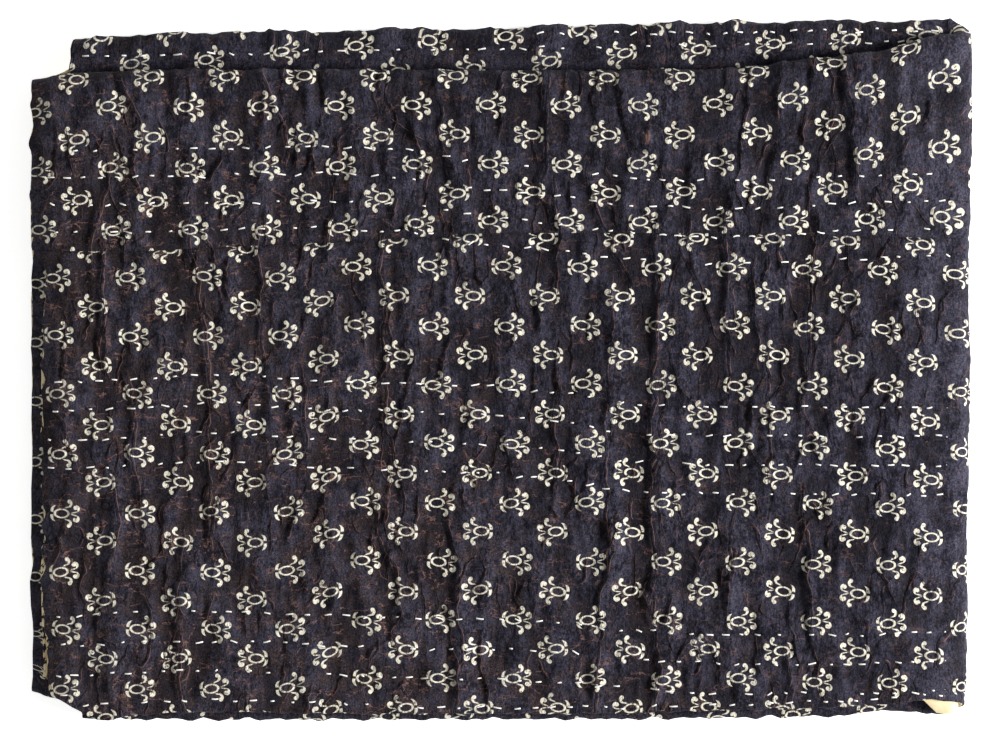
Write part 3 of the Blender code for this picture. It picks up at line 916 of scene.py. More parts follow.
def disc(tree, place, centre, radius):
    """Above 0 inside a circle."""
    return number(tree, "SUBTRACT", radius, vector(tree, "DISTANCE", place, (*centre, 0.0)))


def crescent(tree, place, outer, inner):
    """Above 0 inside the outer circle and outside the inner one."""
    outside = number(tree, "MULTIPLY", disc(tree, place, *inner), -1.0)
    return number(tree, "MINIMUM", disc(tree, place, *outer), outside)


def long_oval(tree, place, middle, half_length, half_width, slope):
    """Above 0 inside a thin oval."""
    local = vector(tree, "SUBTRACT", place, (*middle, 0.0))
    cosine, sine = math.cos(slope), math.sin(slope)
    along = vector(tree, "DOT_PRODUCT", local, (cosine / half_length, sine / half_length, 0.0))
    aside = vector(tree, "DOT_PRODUCT", local, (-sine / half_width, cosine / half_width, 0.0))
    reach = vector(tree, "LENGTH", vector_of(tree, along, aside))
    return number(tree, "MULTIPLY", rest_of(tree, reach), half_width)


def comma_shape(tree, place, bulb, outer, inner, cut, tail):
    """Above 0 inside one comma."""
    cut_place, cut_way = cut
    kept = vector(tree, "DOT_PRODUCT", vector(tree, "SUBTRACT", place, (*cut_place, 0.0)), cut_way)
    hook = number(tree, "MINIMUM", crescent(tree, place, outer, inner), kept)
    return number(tree, "MAXIMUM", number(tree, "MAXIMUM", disc(tree, place, *bulb), hook),
                  long_oval(tree, place, *tail))


def sprig_group():
    """A node group that turns a place on one sprig into its printed share."""
    tree = bpy.data.node_groups.new("printed sprig", "ShaderNodeTree")
    tree.interface.new_socket("Place", in_out="INPUT", socket_type="NodeSocketVector")
    tree.interface.new_socket("Printed", in_out="OUTPUT", socket_type="NodeSocketFloat")
    x, signed_y, _ = parts_of(tree, add_node(tree, "NodeGroupInput").outputs["Place"])
    y = number(tree, "ABSOLUTE", signed_y)
    place = vector_of(tree, x, y)
    squeezed = vector(tree, "DIVIDE", place, (RING_HALF_LENGTH, RING_HALF_HEIGHT, 1.0))
    off_ring = distance_from(tree, vector(tree, "LENGTH", squeezed), 1.0)
    off_ring = number(tree, "MULTIPLY", off_ring, RING_EVENNESS * RING_HALF_HEIGHT)
    ring = number(tree, "SUBTRACT", RING_LINE, off_ring)
    above_foot = number(tree, "SUBTRACT", y, LEAF_FOOT)
    leaf = number(tree, "MINIMUM", crescent(tree, place, LEAF_OUTER, LEAF_INNER), above_foot)
    inside = number(tree, "MAXIMUM", ring, leaf)
    for comma in COMMAS:
        inside = number(tree, "MAXIMUM", inside, comma_shape(tree, place, *comma))
    printed = step_up(tree, inside, -PRINT_SOFTNESS, PRINT_SOFTNESS)
    join(tree, printed, add_node(tree, "NodeGroupOutput").inputs["Printed"])
    return tree


# %% [markdown]
# The block was stamped in rows, and every other row was stamped turned round and moved along by half a
# step. Each stamp sits a little crooked. A white noise node gives one set of random numbers to each cell of
# a lattice, which is how the crookedness is made.

# %% Rows of sprigs
SPRIG_PITCH = 51.5
SPRIG_ROW_PITCH = 20.15
TURNED_ROW_SHIFT = 30.1
STAMP_SLIP = 0.9
STAMP_TURN = 0.16
# Where the random numbers are read, so that the two sets of rows draw different ones.
CHANCE_LEVEL = 3.5


def sprig_lattice(tree, place, sprig, shift, way):
    """Printed share of one set of rows, where way is -1 for sprigs that were stamped turned round."""
    moved = vector(tree, "SUBTRACT", place, (*shift, 0.0))
    cells = vector(tree, "DIVIDE", moved, (SPRIG_PITCH, 2 * SPRIG_ROW_PITCH, 1.0))
    cell = vector(tree, "FLOOR", vector(tree, "ADD", cells, (0.5, 0.5, 0.0)))
    centre = vector(tree, "MULTIPLY", cell, (SPRIG_PITCH, 2 * SPRIG_ROW_PITCH, 0.0))
    chance = add_node(tree, "ShaderNodeTexWhiteNoise", noise_dimensions="3D")
    join(tree, vector(tree, "ADD", cell, (0.0, 0.0, CHANCE_LEVEL + way)), chance.inputs["Vector"])
    slip = vector(tree, "SUBTRACT", chance.outputs["Color"], (0.5, 0.5, 0.5))
    slip = vector(tree, "MULTIPLY", slip, (2 * STAMP_SLIP, 2 * STAMP_SLIP, 0.0))
    local = vector(tree, "SUBTRACT", vector(tree, "SUBTRACT", moved, centre), slip)
    turned = add_node(tree, "ShaderNodeVectorRotate", rotation_type="Z_AXIS")
    join(tree, local, turned.inputs["Vector"])
    turn = number(tree, "MULTIPLY", number(tree, "SUBTRACT", chance.outputs["Value"], 0.5), 2 * STAMP_TURN)
    join(tree, turn, turned.inputs["Angle"])
    x, y, _ = parts_of(tree, turned.outputs[0])
    group = add_node(tree, "ShaderNodeGroup", node_tree=sprig)
    join(tree, vector_of(tree, number(tree, "MULTIPLY", x, way), y), group.inputs["Place"])
    return group.outputs["Printed"]


# %% [markdown]
# The printed cotton is a worn indigo black. Washing has faded it in fine streaks and the dye has rubbed brown
# in patches. A painted highlight makes the crests of the folds a little bluer and lighter than the hollows,
# and painted shade darkens the hollows. A thin rusty line runs along each sharp crest. The shader knows where
# the crests are from the distances kept with the points: it draws a line where a distance is almost nothing,
# much finer than the mesh itself.

# %% Colour of the printed cotton
INDIGO = (0.0070, 0.0066, 0.0120, 1.0)
FADED_INDIGO = (0.036, 0.0335, 0.052, 1.0)
RUBBED_BROWN = (0.046, 0.0305, 0.0300, 1.0)
# The colour of the painted highlight on the crests and along the last fold.
HIGHLIGHT_BLUE = (0.062, 0.060, 0.088, 1.0)
# The colour of painted shade in the hollows.
SHADE_BLACK = (0.0045, 0.0035, 0.0055, 1.0)
RUST = (0.19, 0.102, 0.085, 1.0)
PRINT_CREAM = (0.73, 0.69, 0.58, 1.0)
WORN_CREAM = (0.50, 0.44, 0.33, 1.0)
# The brown is strongest towards the lower left corner of the face.
BROWN_WAY = (-1.0, -0.8, 0.0)
BROWN_BIAS = 0.06
# Painted highlight along the last fold: where it starts, is full, ends being full, and stops.
FOLD_HIGHLIGHT = (262.0, 300.0, 345.0, 380.0)
GRAIN_LOW, GRAIN_RANGE = 0.45, 0.95
CREASE_CORE, CREASE_LINE = 0.1, 0.46
# The valley beside each crest: where it lies and how wide, for its painted shade and its bump.
VALLEY_ASIDE, VALLEY_LINE = -2.1, 1.0
# Scale, detail and roughness of each layer of wear. Its scale is in waves a millimetre.
GRAIN_NOISE = (0.85, 4.0, 0.7)
VEIN_NOISE, VEIN_PATCHES = (0.075, 5.0, 0.55), (0.13, 4.0, 0.65)
STREAK_NOISE, PATCH_NOISE = (0.5, 4.0, 0.65), (0.055, 5.0, 0.6)
RUBBED_BROAD, RUBBED_FINE = (0.09, 5.0, 0.7), (0.55, 4.0, 0.75)
BROKEN_LINES = (0.11, 4.0, 0.6)
# Where two layers read the same noise they are moved apart, so that they do not match.
VEIN_MOVE, RUBBED_MOVE = (91.0, 17.0, 5.0), (310.0, 40.0, 7.0)
VEIN_CORE, VEIN_EDGE = 0.002, 0.014
CORNER_FAR, CORNER_NEAR = -120.0, 330.0
# Strength of the painted highlight on the crests, and of the rust.
CREST_HIGHLIGHT, RUST_STRENGTH = 0.5, 0.8
# Strength of the painted shade on low ground and in the hollows.
LOW_GROUND_SHADE, HOLLOW_SHADE = 0.62, 0.8


def lines_beside_crests(tree, aside, half_width):
    """Strength of the lines that run along every crest, a little aside of it."""
    distances = parts_of(tree, attribute(tree, "crease_distance"))
    strengths = parts_of(tree, attribute(tree, "crease_strength"))
    total = 0.0
    for distance, strength in zip(distances, strengths):
        near = rest_of(tree, step_up(tree, distance_from(tree, distance, aside), CREASE_CORE, half_width))
        total = number(tree, "MAXIMUM", total, number(tree, "MULTIPLY", near, strength))
    return total


def grain_factor(tree, place):
    """Fine light and dark specks of the worn yarn."""
    fine = step_up(tree, texture_noise(tree, place, *GRAIN_NOISE), 0.38, 0.62)
    factor = number(tree, "ADD", GRAIN_LOW, number(tree, "MULTIPLY", fine, GRAIN_RANGE))
    return vector_of(tree, factor, factor, factor)


def rusty_veins(tree, place):
    """Thin lines of rubbed dye that run mostly across the cloth."""
    stretched = vector(tree, "ADD", vector(tree, "MULTIPLY", place, (0.55, 1.0, 1.0)), VEIN_MOVE)
    off_line = distance_from(tree, texture_noise(tree, stretched, *VEIN_NOISE), 0.5)
    line = rest_of(tree, step_up(tree, off_line, VEIN_CORE, VEIN_EDGE))
    there = step_up(tree, texture_noise(tree, place, *VEIN_PATCHES), 0.47, 0.57)
    return number(tree, "MULTIPLY", line, there)


def band(tree, value, start, full, fading, end):
    """1 between full and fading, 0 outside start and end."""
    return number(tree, "SUBTRACT", step_up(tree, value, start, full), step_up(tree, value, fading, end))


def worn_colour_and_painted_light(tree, place, lines):
    """The dye before anything is printed on it, with its painted shade and painted highlights."""
    stretched = vector(tree, "MULTIPLY", place, (1.0, 0.5, 1.0))
    streaks = texture_noise(tree, stretched, *STREAK_NOISE)
    patches = texture_noise(tree, place, *PATCH_NOISE)
    both = weighed_sum(tree, (streaks, 0.55), (patches, 0.45))
    colour = blend_colour(tree, step_up(tree, both, 0.41, 0.60), INDIGO, FADED_INDIGO)

    # Brown where the dye has rubbed off, more of it low down and towards the corner.
    moved = vector(tree, "ADD", place, RUBBED_MOVE)
    broad, fine = texture_noise(tree, moved, *RUBBED_BROAD), texture_noise(tree, moved, *RUBBED_FINE)
    painted_shade, crest, _ = parts_of(tree, attribute(tree, "shade_and_crest"))
    towards_corner = vector(tree, "DOT_PRODUCT", place, BROWN_WAY)
    at_corner = step_up(tree, towards_corner, CORNER_FAR, CORNER_NEAR)
    bias = number(tree, "MULTIPLY", at_corner, BROWN_BIAS)
    rubbed = weighed_sum(tree, (broad, 0.45), (fine, 0.55), (bias, 1.0), (crest, -0.03))
    colour = blend_colour(tree, step_up(tree, rubbed, 0.52, 0.64), colour, RUBBED_BROWN)

    # Painted highlight: bluer and lighter on the crests and along the last fold.
    across, _, _ = parts_of(tree, place)
    fold_highlight_share = weighed_sum(tree, (1.0, 0.12), (step_up(tree, both, 0.42, 0.60), 0.55))
    fold_highlight = number(tree, "MULTIPLY", band(tree, across, *FOLD_HIGHLIGHT), fold_highlight_share)
    crest_highlight = number(tree, "MULTIPLY", step_up(tree, crest, 0.2, 1.0), step_up(tree, both, 0.42, 0.58))
    painted_highlight = number(tree, "MAXIMUM", number(tree, "MULTIPLY", crest_highlight, CREST_HIGHLIGHT), fold_highlight)
    colour = blend_colour(tree, painted_highlight, colour, HIGHLIGHT_BLUE)

    # Painted shade: darker in the hollows and on the low ground between crests.
    low_ground_shade = number(tree, "MULTIPLY", rest_of(tree, step_up(tree, crest, -0.9, 0.1)), LOW_GROUND_SHADE)
    hollow_shade_share = number(tree, "MULTIPLY", painted_shade, HOLLOW_SHADE, clamp=True)
    colour = blend_colour(tree, number(tree, "MAXIMUM", hollow_shade_share, low_ground_shade), colour, SHADE_BLACK)
    colour = vector(tree, "MULTIPLY", colour, grain_factor(tree, place))

    # Rust in broken lines along the crests, and in veins that are stronger towards the corner.
    broken = number(tree, "ADD", texture_noise(tree, place, *BROKEN_LINES), bias)
    crest_lines = number(tree, "MULTIPLY", lines, step_up(tree, broken, 0.45, 0.57))
    vein_strength = weighed_sum(tree, (1.0, 0.35), (bias, 10.0))
    veins = number(tree, "MULTIPLY", rusty_veins(tree, place), vein_strength)
    rusty = number(tree, "MAXIMUM", crest_lines, veins)
    return blend_colour(tree, number(tree, "MULTIPLY", rusty, RUST_STRENGTH, clamp=True), colour, RUST)


# %% [markdown]
# Cotton that was never ironed has a crepe of fine folds between the large ones. The height of a fine fold
# comes from noise again: it drops along the lines where the noise is halfway, so narrow valleys run between
# small plates.

# %% Height and finish of the printed cotton
BUMP_HEIGHT = 1.3 * MM
COTTON_ROUGHNESS, THREAD_ROUGHNESS = 0.9, 0.7
# Each set of fine folds: how it is stretched, how it is moved, its noise, width of its valleys, and weight.
CREPE_FOLDS = (
    ((1.0, 0.45, 1.0), (0.0, 0.0, 0.0), (0.16, 3.0, 0.55), 0.055, 0.65),
    ((0.8, 0.9, 1.0), (57.0, 11.0, 3.0), (0.17, 2.0, 0.5), 0.05, 0.35),
)
WEAVE_NOISE = (1.3, 3.0, 0.7)
PRINT_WEAR, INK_NOISE = (0.5, 4.0, 0.65), (0.6, 3.0, 0.6)
# The print's strength, and how much painted shade dims it in the crease valleys.
PRINT_STRENGTH, PRINT_SHADED_IN_VALLEYS = 0.97, 0.6


def crepe_height(tree, place):
    """Fine folds: 0 along narrow valleys, rising to 1 between them."""
    plates = []
    for stretch, move, noise, valley, weight in CREPE_FOLDS:
        moved = vector(tree, "ADD", vector(tree, "MULTIPLY", place, stretch), move)
        off_line = distance_from(tree, texture_noise(tree, moved, *noise), 0.5)
        plates.append((step_up(tree, off_line, 0.0, valley), weight))
    return weighed_sum(tree, *plates)


def printed_cotton():
    material, tree, shader = new_material("printed_cotton")
    place = attribute(tree, "print_place")
    sprig = sprig_group()
    printed = number(tree, "MAXIMUM",
                     sprig_lattice(tree, place, sprig, (0.0, 0.0), 1.0),
                     sprig_lattice(tree, place, sprig, (TURNED_ROW_SHIFT, SPRIG_ROW_PITCH), -1.0))
    lines = lines_beside_crests(tree, 0.0, CREASE_LINE)
    valleys = lines_beside_crests(tree, VALLEY_ASIDE, VALLEY_LINE)
    colour = worn_colour_and_painted_light(tree, place, lines)
    worn = step_up(tree, texture_noise(tree, place, *PRINT_WEAR), 0.33, 0.46)
    # Painted shade: the print is dimmed along the crease valleys.
    clear_of_valley_shade = rest_of(tree, number(tree, "MULTIPLY", valleys, PRINT_SHADED_IN_VALLEYS))
    printed = number(tree, "MULTIPLY", number(tree, "MULTIPLY", printed, worn), clear_of_valley_shade)
    full_ink = step_up(tree, texture_noise(tree, place, *INK_NOISE), 0.33, 0.55)
    ink = blend_colour(tree, full_ink, WORN_CREAM, PRINT_CREAM)
    colour = blend_colour(tree, number(tree, "MULTIPLY", printed, PRINT_STRENGTH), colour, ink)
    shader.inputs["Specular IOR Level"].default_value = 0.12
    shader.inputs["Sheen Weight"].default_value = 0.02
    shader.inputs["Sheen Roughness"].default_value = 0.5
    crepe, weave = crepe_height(tree, place), texture_noise(tree, place, *WEAVE_NOISE)
    height = weighed_sum(tree, (crepe, 0.26), (weave, 0.26), (valleys, -0.45), (lines, 0.3))
    finish_cloth(tree, shader, colour, COTTON_ROUGHNESS, height, BUMP_HEIGHT)
    return material


# %% [markdown]
# The backing is plain cream cotton and the quilting thread is white. Both are matt, with a fine weave or
# twist in their bump.

# %% Cream cotton and white thread
CREAM_DARK, CREAM_LIGHT = (0.60, 0.47, 0.27, 1.0), (0.80, 0.69, 0.45, 1.0)
THREAD_DARK, THREAD_LIGHT = (0.78, 0.75, 0.68, 1.0), (0.95, 0.94, 0.90, 1.0)
# These scales are in waves a metre.
CREAM_PATCHES, CREAM_WEAVE, CREAM_BUMP = (60.0, 4.0), (1400.0, 3.0), 0.3 * MM
THREAD_PATCHES, THREAD_TWIST, THREAD_BUMP = (90.0, 2.0), (3000.0, 2.0), 0.1 * MM
# The cream line at the left edge is broken up by painted shadow and by dark bits of the printed
# cloth. Where those stop:
BROKEN_UP_TO, WHOLE_FROM = -306 * MM, -302 * MM
BROKEN_STRETCH, BROKEN_NOISE = (1.0, 0.45, 1.0), (520.0, 2.0)


def patchy_colour(tree, place, noise, dark, light):
    return blend_colour(tree, step_up(tree, texture_noise(tree, place, *noise), 0.3, 0.7), dark, light)


def cream_cotton():
    material, tree, shader = new_material("cream_cotton")
    place = add_node(tree, "ShaderNodeTexCoord").outputs["Object"]
    colour = patchy_colour(tree, place, CREAM_PATCHES, CREAM_DARK, CREAM_LIGHT)
    x, _, _ = parts_of(tree, place)
    at_left = rest_of(tree, step_up(tree, x, BROKEN_UP_TO, WHOLE_FROM))
    stretched = vector(tree, "MULTIPLY", place, BROKEN_STRETCH)
    dashes = step_up(tree, texture_noise(tree, stretched, *BROKEN_NOISE), 0.50, 0.56)
    # Painted shadow and dark bits of the printed cloth break up the cream at the left edge.
    colour = blend_colour(tree, number(tree, "MULTIPLY", at_left, dashes), colour, INDIGO)
    shader.inputs["Specular IOR Level"].default_value = 0.2
    weave = texture_noise(tree, place, *CREAM_WEAVE)
    finish_cloth(tree, shader, colour, COTTON_ROUGHNESS, weave, CREAM_BUMP)
    return material


def white_thread():
    material, tree, shader = new_material("quilting_thread")
    place = add_node(tree, "ShaderNodeTexCoord").outputs["Object"]
    colour = patchy_colour(tree, place, THREAD_PATCHES, THREAD_DARK, THREAD_LIGHT)
    twist = texture_noise(tree, place, *THREAD_TWIST)
    finish_cloth(tree, shader, colour, THREAD_ROUGHNESS, twist, THREAD_BUMP)
    return material


PRINTED = printed_cotton()
CREAM = cream_cotton()
THREAD = white_thread()
print("printed cotton nodes:", len(PRINTED.node_tree.nodes))

# %% [markdown]
# ## The printed panels
# Two panels were cut from the printed cloth and joined by a plain seam across the upper part of the face.
# The stamped rows bend a little with the cloth, so short tables say how far they lie from straight. The
# back pack is folded a little askew, which tilts the rows on the strip that shows above the front pack.

# %% Place of the print on each panel
HEM_PRINT_X, HEM_PRINT_Y = 1.4, 71.6
# station, how far the rows of sprigs on the hem panel sag there
HEM_PRINT_SAG = np.array(((-304, 6.8), (-152, 6.8), (-125, 3.4), (-104, 0.0),
                          (163, 0.0), (208, 1.4), (262, 2.7), (311, 5.5)))
# height, how far the sprigs have drifted to the right there
HEM_PRINT_DRIFT = np.array(((-235, 6.9), (-137, 6.3), (-90, 6.1), (-9, 3.4), (72, 0.0), (95, -0.6)))
MAIN_PRINT_X = -7.5
MAIN_PRINT_LENGTH, MAIN_PRINT_START, MAIN_PRINT_LEAN = 113.6, 0.073, 4.8
FACE_SHARE_AT_BEND = 0.934
# station, how far the rows by the seam sag there, as a share of the seam's distance from the fold
MAIN_PRINT_SAG = np.array(((-320, 0.061), (-60, 0.0), (60, 0.0), (320, 0.028)))
STRIP_TILT, STRIP_TILT_START = 0.059, 300.0
STRIP_SLIP, STRIP_SLIP_START, STRIP_SLIP_REACH = -16.3, 300.0, 94.0
# Run 3 shows at the left edge. Its rows of sprigs keep level with those of this column.
MIDDLE_COLUMN, STRAIGHT_REACH = 200, 0.1


def print_on_hem_panel(laid):
    """The rows of sprigs lie across the panel, but for a small sag and drift."""
    sag = curve_through(HEM_PRINT_SAG, 1, laid["x"])
    drift = curve_through(HEM_PRINT_DRIFT, 1, laid["y"])
    return np.stack((laid["u"] - HEM_PRINT_X - drift, laid["y"] - HEM_PRINT_Y + sag, 0 * sag), axis=-1)


def print_on_main_panel(laid, rows, columns):
    """The rows follow the share of the way from seam to fold, and then the length of the cloth itself."""
    face = [index for index, row in enumerate(rows) if row[0] == "run_1"]
    share = np.array([FACE_SHARE_AT_BEND * (row[1] - SEAM_SHARE) / (1 - SEAM_SHARE) for row in rows])
    share = np.where(np.arange(len(rows)) <= face[-1], share, FACE_SHARE_AT_BEND)[:, None]
    v_there, y_there = (laid[key][:, MIDDLE_COLUMN, None] for key in ("v", "flat_y"))
    level = v_there + laid["flat_y"] - y_there
    straight = np.array([float(ease(row[1] / STRAIGHT_REACH)) if row[0] == "run_3" else 0.0 for row in rows])
    along = mix(laid["v"], level, straight[:, None])
    past_bend = np.maximum(along - laid["v"][face[-1]], 0.0) * (np.arange(len(rows)) > face[-1])[:, None]
    sag = curve_through(MAIN_PRINT_SAG, 1, laid["flat_x"])
    up = MAIN_PRINT_LENGTH * (share - MAIN_PRINT_START - sag * (1 - share)) + past_bend
    up = up + np.where(columns[0] == BACK, STRIP_TILT * (laid["flat_x"] - STRIP_TILT_START), 0.0)
    lean = MAIN_PRINT_LEAN * share * np.clip((STRIP_TILT_START - laid["u"]) / (2 * STRIP_TILT_START), 0, 1)
    slip = STRIP_SLIP * ease((laid["u"] - STRIP_SLIP_START) / STRIP_SLIP_REACH)
    return np.stack((laid["u"] - MAIN_PRINT_X + lean + slip, up, 0 * up), axis=-1)


# %% [markdown]
# Each panel is laid with small steps where it lies open to view and with long steps where it is hidden.

# %% Lay the two printed panels
# Height of the printed cloth inside a panel and at its turned edges.
PRINT_FACE, PRINT_INNER = 1.0, 0.15
FACE_STEP, STRIP_STEP, HIDDEN_STEP = 1.5, 3.6, 15.0
TURN_STEPS = 16
HEM_PANEL_ROWS, MAIN_PANEL_FACE_ROWS = 190, 56
# First and last row of a panel's face, as shares of its length, and how far they stop from the seam.
FIRST_ROW, LAST_ROW, SEAM_INSET = 0.002, 0.998, 0.0012


def lay_hem_panel():
    columns, rises = side_columns(FACE_STEP, TURN_STEPS, HIDDEN_STEP)
    rows = (edge_rows("run_1", 0.0, -1, TURNED_EDGE)
            + run_rows("run_1", FIRST_ROW, SEAM_SHARE - SEAM_INSET, HEM_PANEL_ROWS)
            + edge_rows("run_1", SEAM_SHARE, 1, HALF_TURNED_EDGE[::-1]))
    laid = lay_printed(rows, columns, rises, PRINT_FACE, PRINT_INNER, len(rows) - 1)
    laid["print_place"] = print_on_hem_panel(laid)
    return laid


def lay_main_panel():
    columns, rises = side_columns(FACE_STEP, TURN_STEPS, STRIP_STEP)
    rows = (edge_rows("run_1", SEAM_SHARE, -1, HALF_TURNED_EDGE)
            + run_rows("run_1", SEAM_SHARE + SEAM_INSET, LAST_ROW, MAIN_PANEL_FACE_ROWS)
            + HIDDEN_ROWS)
    laid = lay_printed(rows, columns, rises, PRINT_FACE, PRINT_INNER, 0)
    laid["print_place"] = print_on_main_panel(laid, rows, columns)
    return laid


def printed_panel(name, laid):
    piece = grid_mesh(name, laid, False, PRINTED)
    for key in ("print_place", "crease_distance", "crease_strength", "shade_and_crest"):
        keep_on_points(piece, key, laid[key])
    return piece


hem_laid = lay_hem_panel()
main_laid = lay_main_panel()
hem_panel = printed_panel("hem_panel_cloth", hem_laid)
main_panel = printed_panel("main_panel_cloth", main_laid)

# %% [markdown]
# ## The backing
# The plain cloth lies behind both panels in one piece. It shows only where a layer ends short of the one
# below it, so it can be coarser than the face. At the top left its end stands out a little beside the front
# pack's top fold, and droops.

# %% Lay the backing
BACKING_FACE, BACKING_INNER = -1.0, -0.15
BACKING_FRONT_STEP, BACKING_TURN_STEPS, BACKING_BACK_STEP = 5.0, 12, 10.0
# Shares of the way along run 2 where the end that stands out starts, is full, ends being full, and stops.
PEEP_SHARES, PEEP_FULLNESS = (0.031, 0.041, 0.06, 0.11), (0.0, 1.0, 1.0, 0.0)
PEEP_START, PEEP_REACH, PEEP_DROOP = 0.95, 14.0, 2.0


def corner_peep(rows, columns):
    """How much the cream cloth stands out: 1 at the back pack's left end near the top, 0 elsewhere."""
    part, across, _ = columns
    near_end = ease((across - PEEP_START) / (1.0 - PEEP_START)) * (part == BACK)
    along = [float(np.interp(row[1], PEEP_SHARES, PEEP_FULLNESS)) * (row[0] == "run_2") for row in rows]
    return np.array(along)[:, None] * near_end[None, :]


def lay_backing():
    columns, rises = side_columns(BACKING_FRONT_STEP, BACKING_TURN_STEPS, BACKING_BACK_STEP)
    rows = (edge_rows("run_1", 0.0, -1, TURNED_EDGE) + run_rows("run_1", 0.005, 0.70, 20)
            + run_rows("run_1", 0.71, 0.80, 12) + run_rows("run_1", 0.82, 0.995, 8) + HIDDEN_ROWS)
    x, y, z = lay_at_heights(rows, columns, rises, BACKING_INNER, BACKING_FACE)
    shift = corner_peep(rows, columns)
    return {"x": x - PEEP_REACH * shift, "y": y, "z": z - PEEP_DROOP * shift}


backing = grid_mesh("backing_cloth_sheet", lay_backing(), True, CREAM)

# %% [markdown]
# ## Running stitch
# The quilting is a plain running stitch: a dash of thread on the face, a longer gap where it runs behind.
# No two dashes are alike, so their places, lengths and slants are drawn at random from a fixed seed. The
# places come from the grid of the cloth itself, so every dash lies on the crumpled surface.

# %% Places of the stitches
STITCH_SEED = 5
# Lowest and highest: start of a row, way from one dash to the next, and length of a dash.
FIRST_GAP, STITCH_GAP, DASH_LENGTH = (2.0, 8.0), (9.8, 15.5), (1.8, 5.6)
ROW_WANDER, ROW_NUMBER_STEP = ((1.6, 38, 1, 17),), 1.7
STITCH_SLIP, STITCH_SLANT = 0.45, 0.17
SKIPPED = 0.08
FACE_ROW_ENDS = (-311.0, 317.0)
# Rows on the strip above the front pack: left end x and y, right end x and y.
STRIP_ROWS = ((-288, 217.0, 290, 227.5), (20, 231.5, 300, 235.0))
STRIP_ROW_NUMBER = 40
# A place is read at least a step inside its grid, because the cloth's way there needs both neighbours.
GRID_START, GRID_END = 1.0, 2.001
FACE_COLUMNS = round(FRONT_WIDTH / FACE_STEP)
# Rows of the top bend before the strip, and rows that hold the strip.
BEND_ROWS_BEFORE, STRIP_ROW_COUNT = 5, 24


def on_grid(laid, row_index, column_index):
    """A place read between the points of a grid."""
    r, c = int(row_index), int(column_index)
    read = []
    for key in ("x", "y", "z"):
        values = laid[key]
        low = mix(values[r, c], values[r, c + 1], column_index - c)
        high = mix(values[r + 1, c], values[r + 1, c + 1], column_index - c)
        read.append(mix(low, high, row_index - r))
    return np.array(read)


def on_cloth(laid, x, y, rows, columns):
    """Finds x and y on a stretch of the grid. Returns the place and the way out of the cloth there.

    Rows and columns are each the first one, the one after the last, and the way that they are read.
    """
    middle_row = (rows[0] + rows[1]) // 2
    column_at = np.interp(x, laid["flat_x"][middle_row, columns[0]:columns[1]][::columns[2]],
                          np.arange(columns[0], columns[1])[::columns[2]])
    line = laid["flat_y"][rows[0]:rows[1], int(column_at)][::rows[2]]
    row_at = np.interp(y, line, np.arange(rows[0], rows[1])[::rows[2]])
    row_at = min(max(row_at, GRID_START), laid["x"].shape[0] - GRID_END)
    column_at = min(max(column_at, GRID_START), laid["x"].shape[1] - GRID_END)
    along = on_grid(laid, row_at, column_at + 1) - on_grid(laid, row_at, column_at - 1)
    up = on_grid(laid, row_at + 1, column_at) - on_grid(laid, row_at - 1, column_at)
    return on_grid(laid, row_at, column_at), np.cross(along, up)


def face_place(x, y):
    """A place on the face of the front pack, on the panel that lies there."""
    first = len(TURNED_EDGE)
    columns = (first, first + FACE_COLUMNS, 1)
    if y < curve_through(OUTLINE, SEAM, x):
        return on_cloth(hem_laid, x, y, (first, first + HEM_PANEL_ROWS, 1), columns)
    first = len(HALF_TURNED_EDGE)
    return on_cloth(main_laid, x, y, (first, first + MAIN_PANEL_FACE_ROWS, 1), columns)


def strip_place(x, y):
    """A place on the strip of the back pack that shows above the front pack."""
    fold_row = len(HALF_TURNED_EDGE) + MAIN_PANEL_FACE_ROWS + BEND_ROWS_BEFORE
    first_back = len(TURNED_EDGE) + FACE_COLUMNS + TURN_STEPS
    last_back = main_laid["x"].shape[1] - len(TURNED_EDGE)
    return on_cloth(main_laid, x, y, (fold_row, fold_row + STRIP_ROW_COUNT, -1), (first_back, last_back, -1))


def stitch_line(find_place, start_x, end_x, height_at, random, row_number):
    """One row of running stitch: centres, directions with lengths, and ways out of the cloth."""
    x, dashes = start_x + random.uniform(*FIRST_GAP), []
    while x < end_x:
        length = random.uniform(*DASH_LENGTH)
        wander = float(waves(np.array(x), np.array(row_number * ROW_NUMBER_STEP), ROW_WANDER))
        y = float(height_at(x)) + wander + random.normal(0, STITCH_SLIP)
        slant = random.normal(0, STITCH_SLANT)
        half_x, half_y = 0.5 * length * math.cos(slant), 0.5 * length * math.sin(slant)
        if random.uniform() > SKIPPED:
            start, _ = find_place(x - half_x, y - half_y)
            end, _ = find_place(x + half_x, y + half_y)
            centre, out = find_place(x, y)
            dashes.append((centre, end - start, out))
        x += random.uniform(*STITCH_GAP)
    return dashes


def all_stitches():
    """Every dash on the face, row by row, and then those on the strip."""
    random = np.random.default_rng(STITCH_SEED)
    dashes = []
    for row_number in range(len(stitch_row_heights(0.0))):
        dashes += stitch_line(face_place, *FACE_ROW_ENDS, lambda x: stitch_row_heights(x)[row_number],
                              random, row_number)
    for left_x, left_y, right_x, right_y in STRIP_ROWS:
        dashes += stitch_line(strip_place, left_x, right_x,
                              lambda x: mix(left_y, right_y, (x - left_x) / (right_x - left_x)),
                              random, STRIP_ROW_NUMBER)
    return [np.array(values) for values in zip(*dashes)]


# %% [markdown]
# Geometry Nodes turn the points into thread. One short arched curve is made, given a round section, and
# placed on every point, turned along its dash and stretched to its length. The copies are then made real,
# because a file that leaves Blender can't hold them as instances.

# %% Geometry nodes for a dash of thread
DASH_SIDES, DASH_STEPS = 6, 6
THREAD_RADIUS, THREAD_ARCH, THREAD_LIFT = 0.55, 1.1, 0.1


def node_links(tree, pairs):
    for source, target in pairs:
        tree.links.new(source, target)


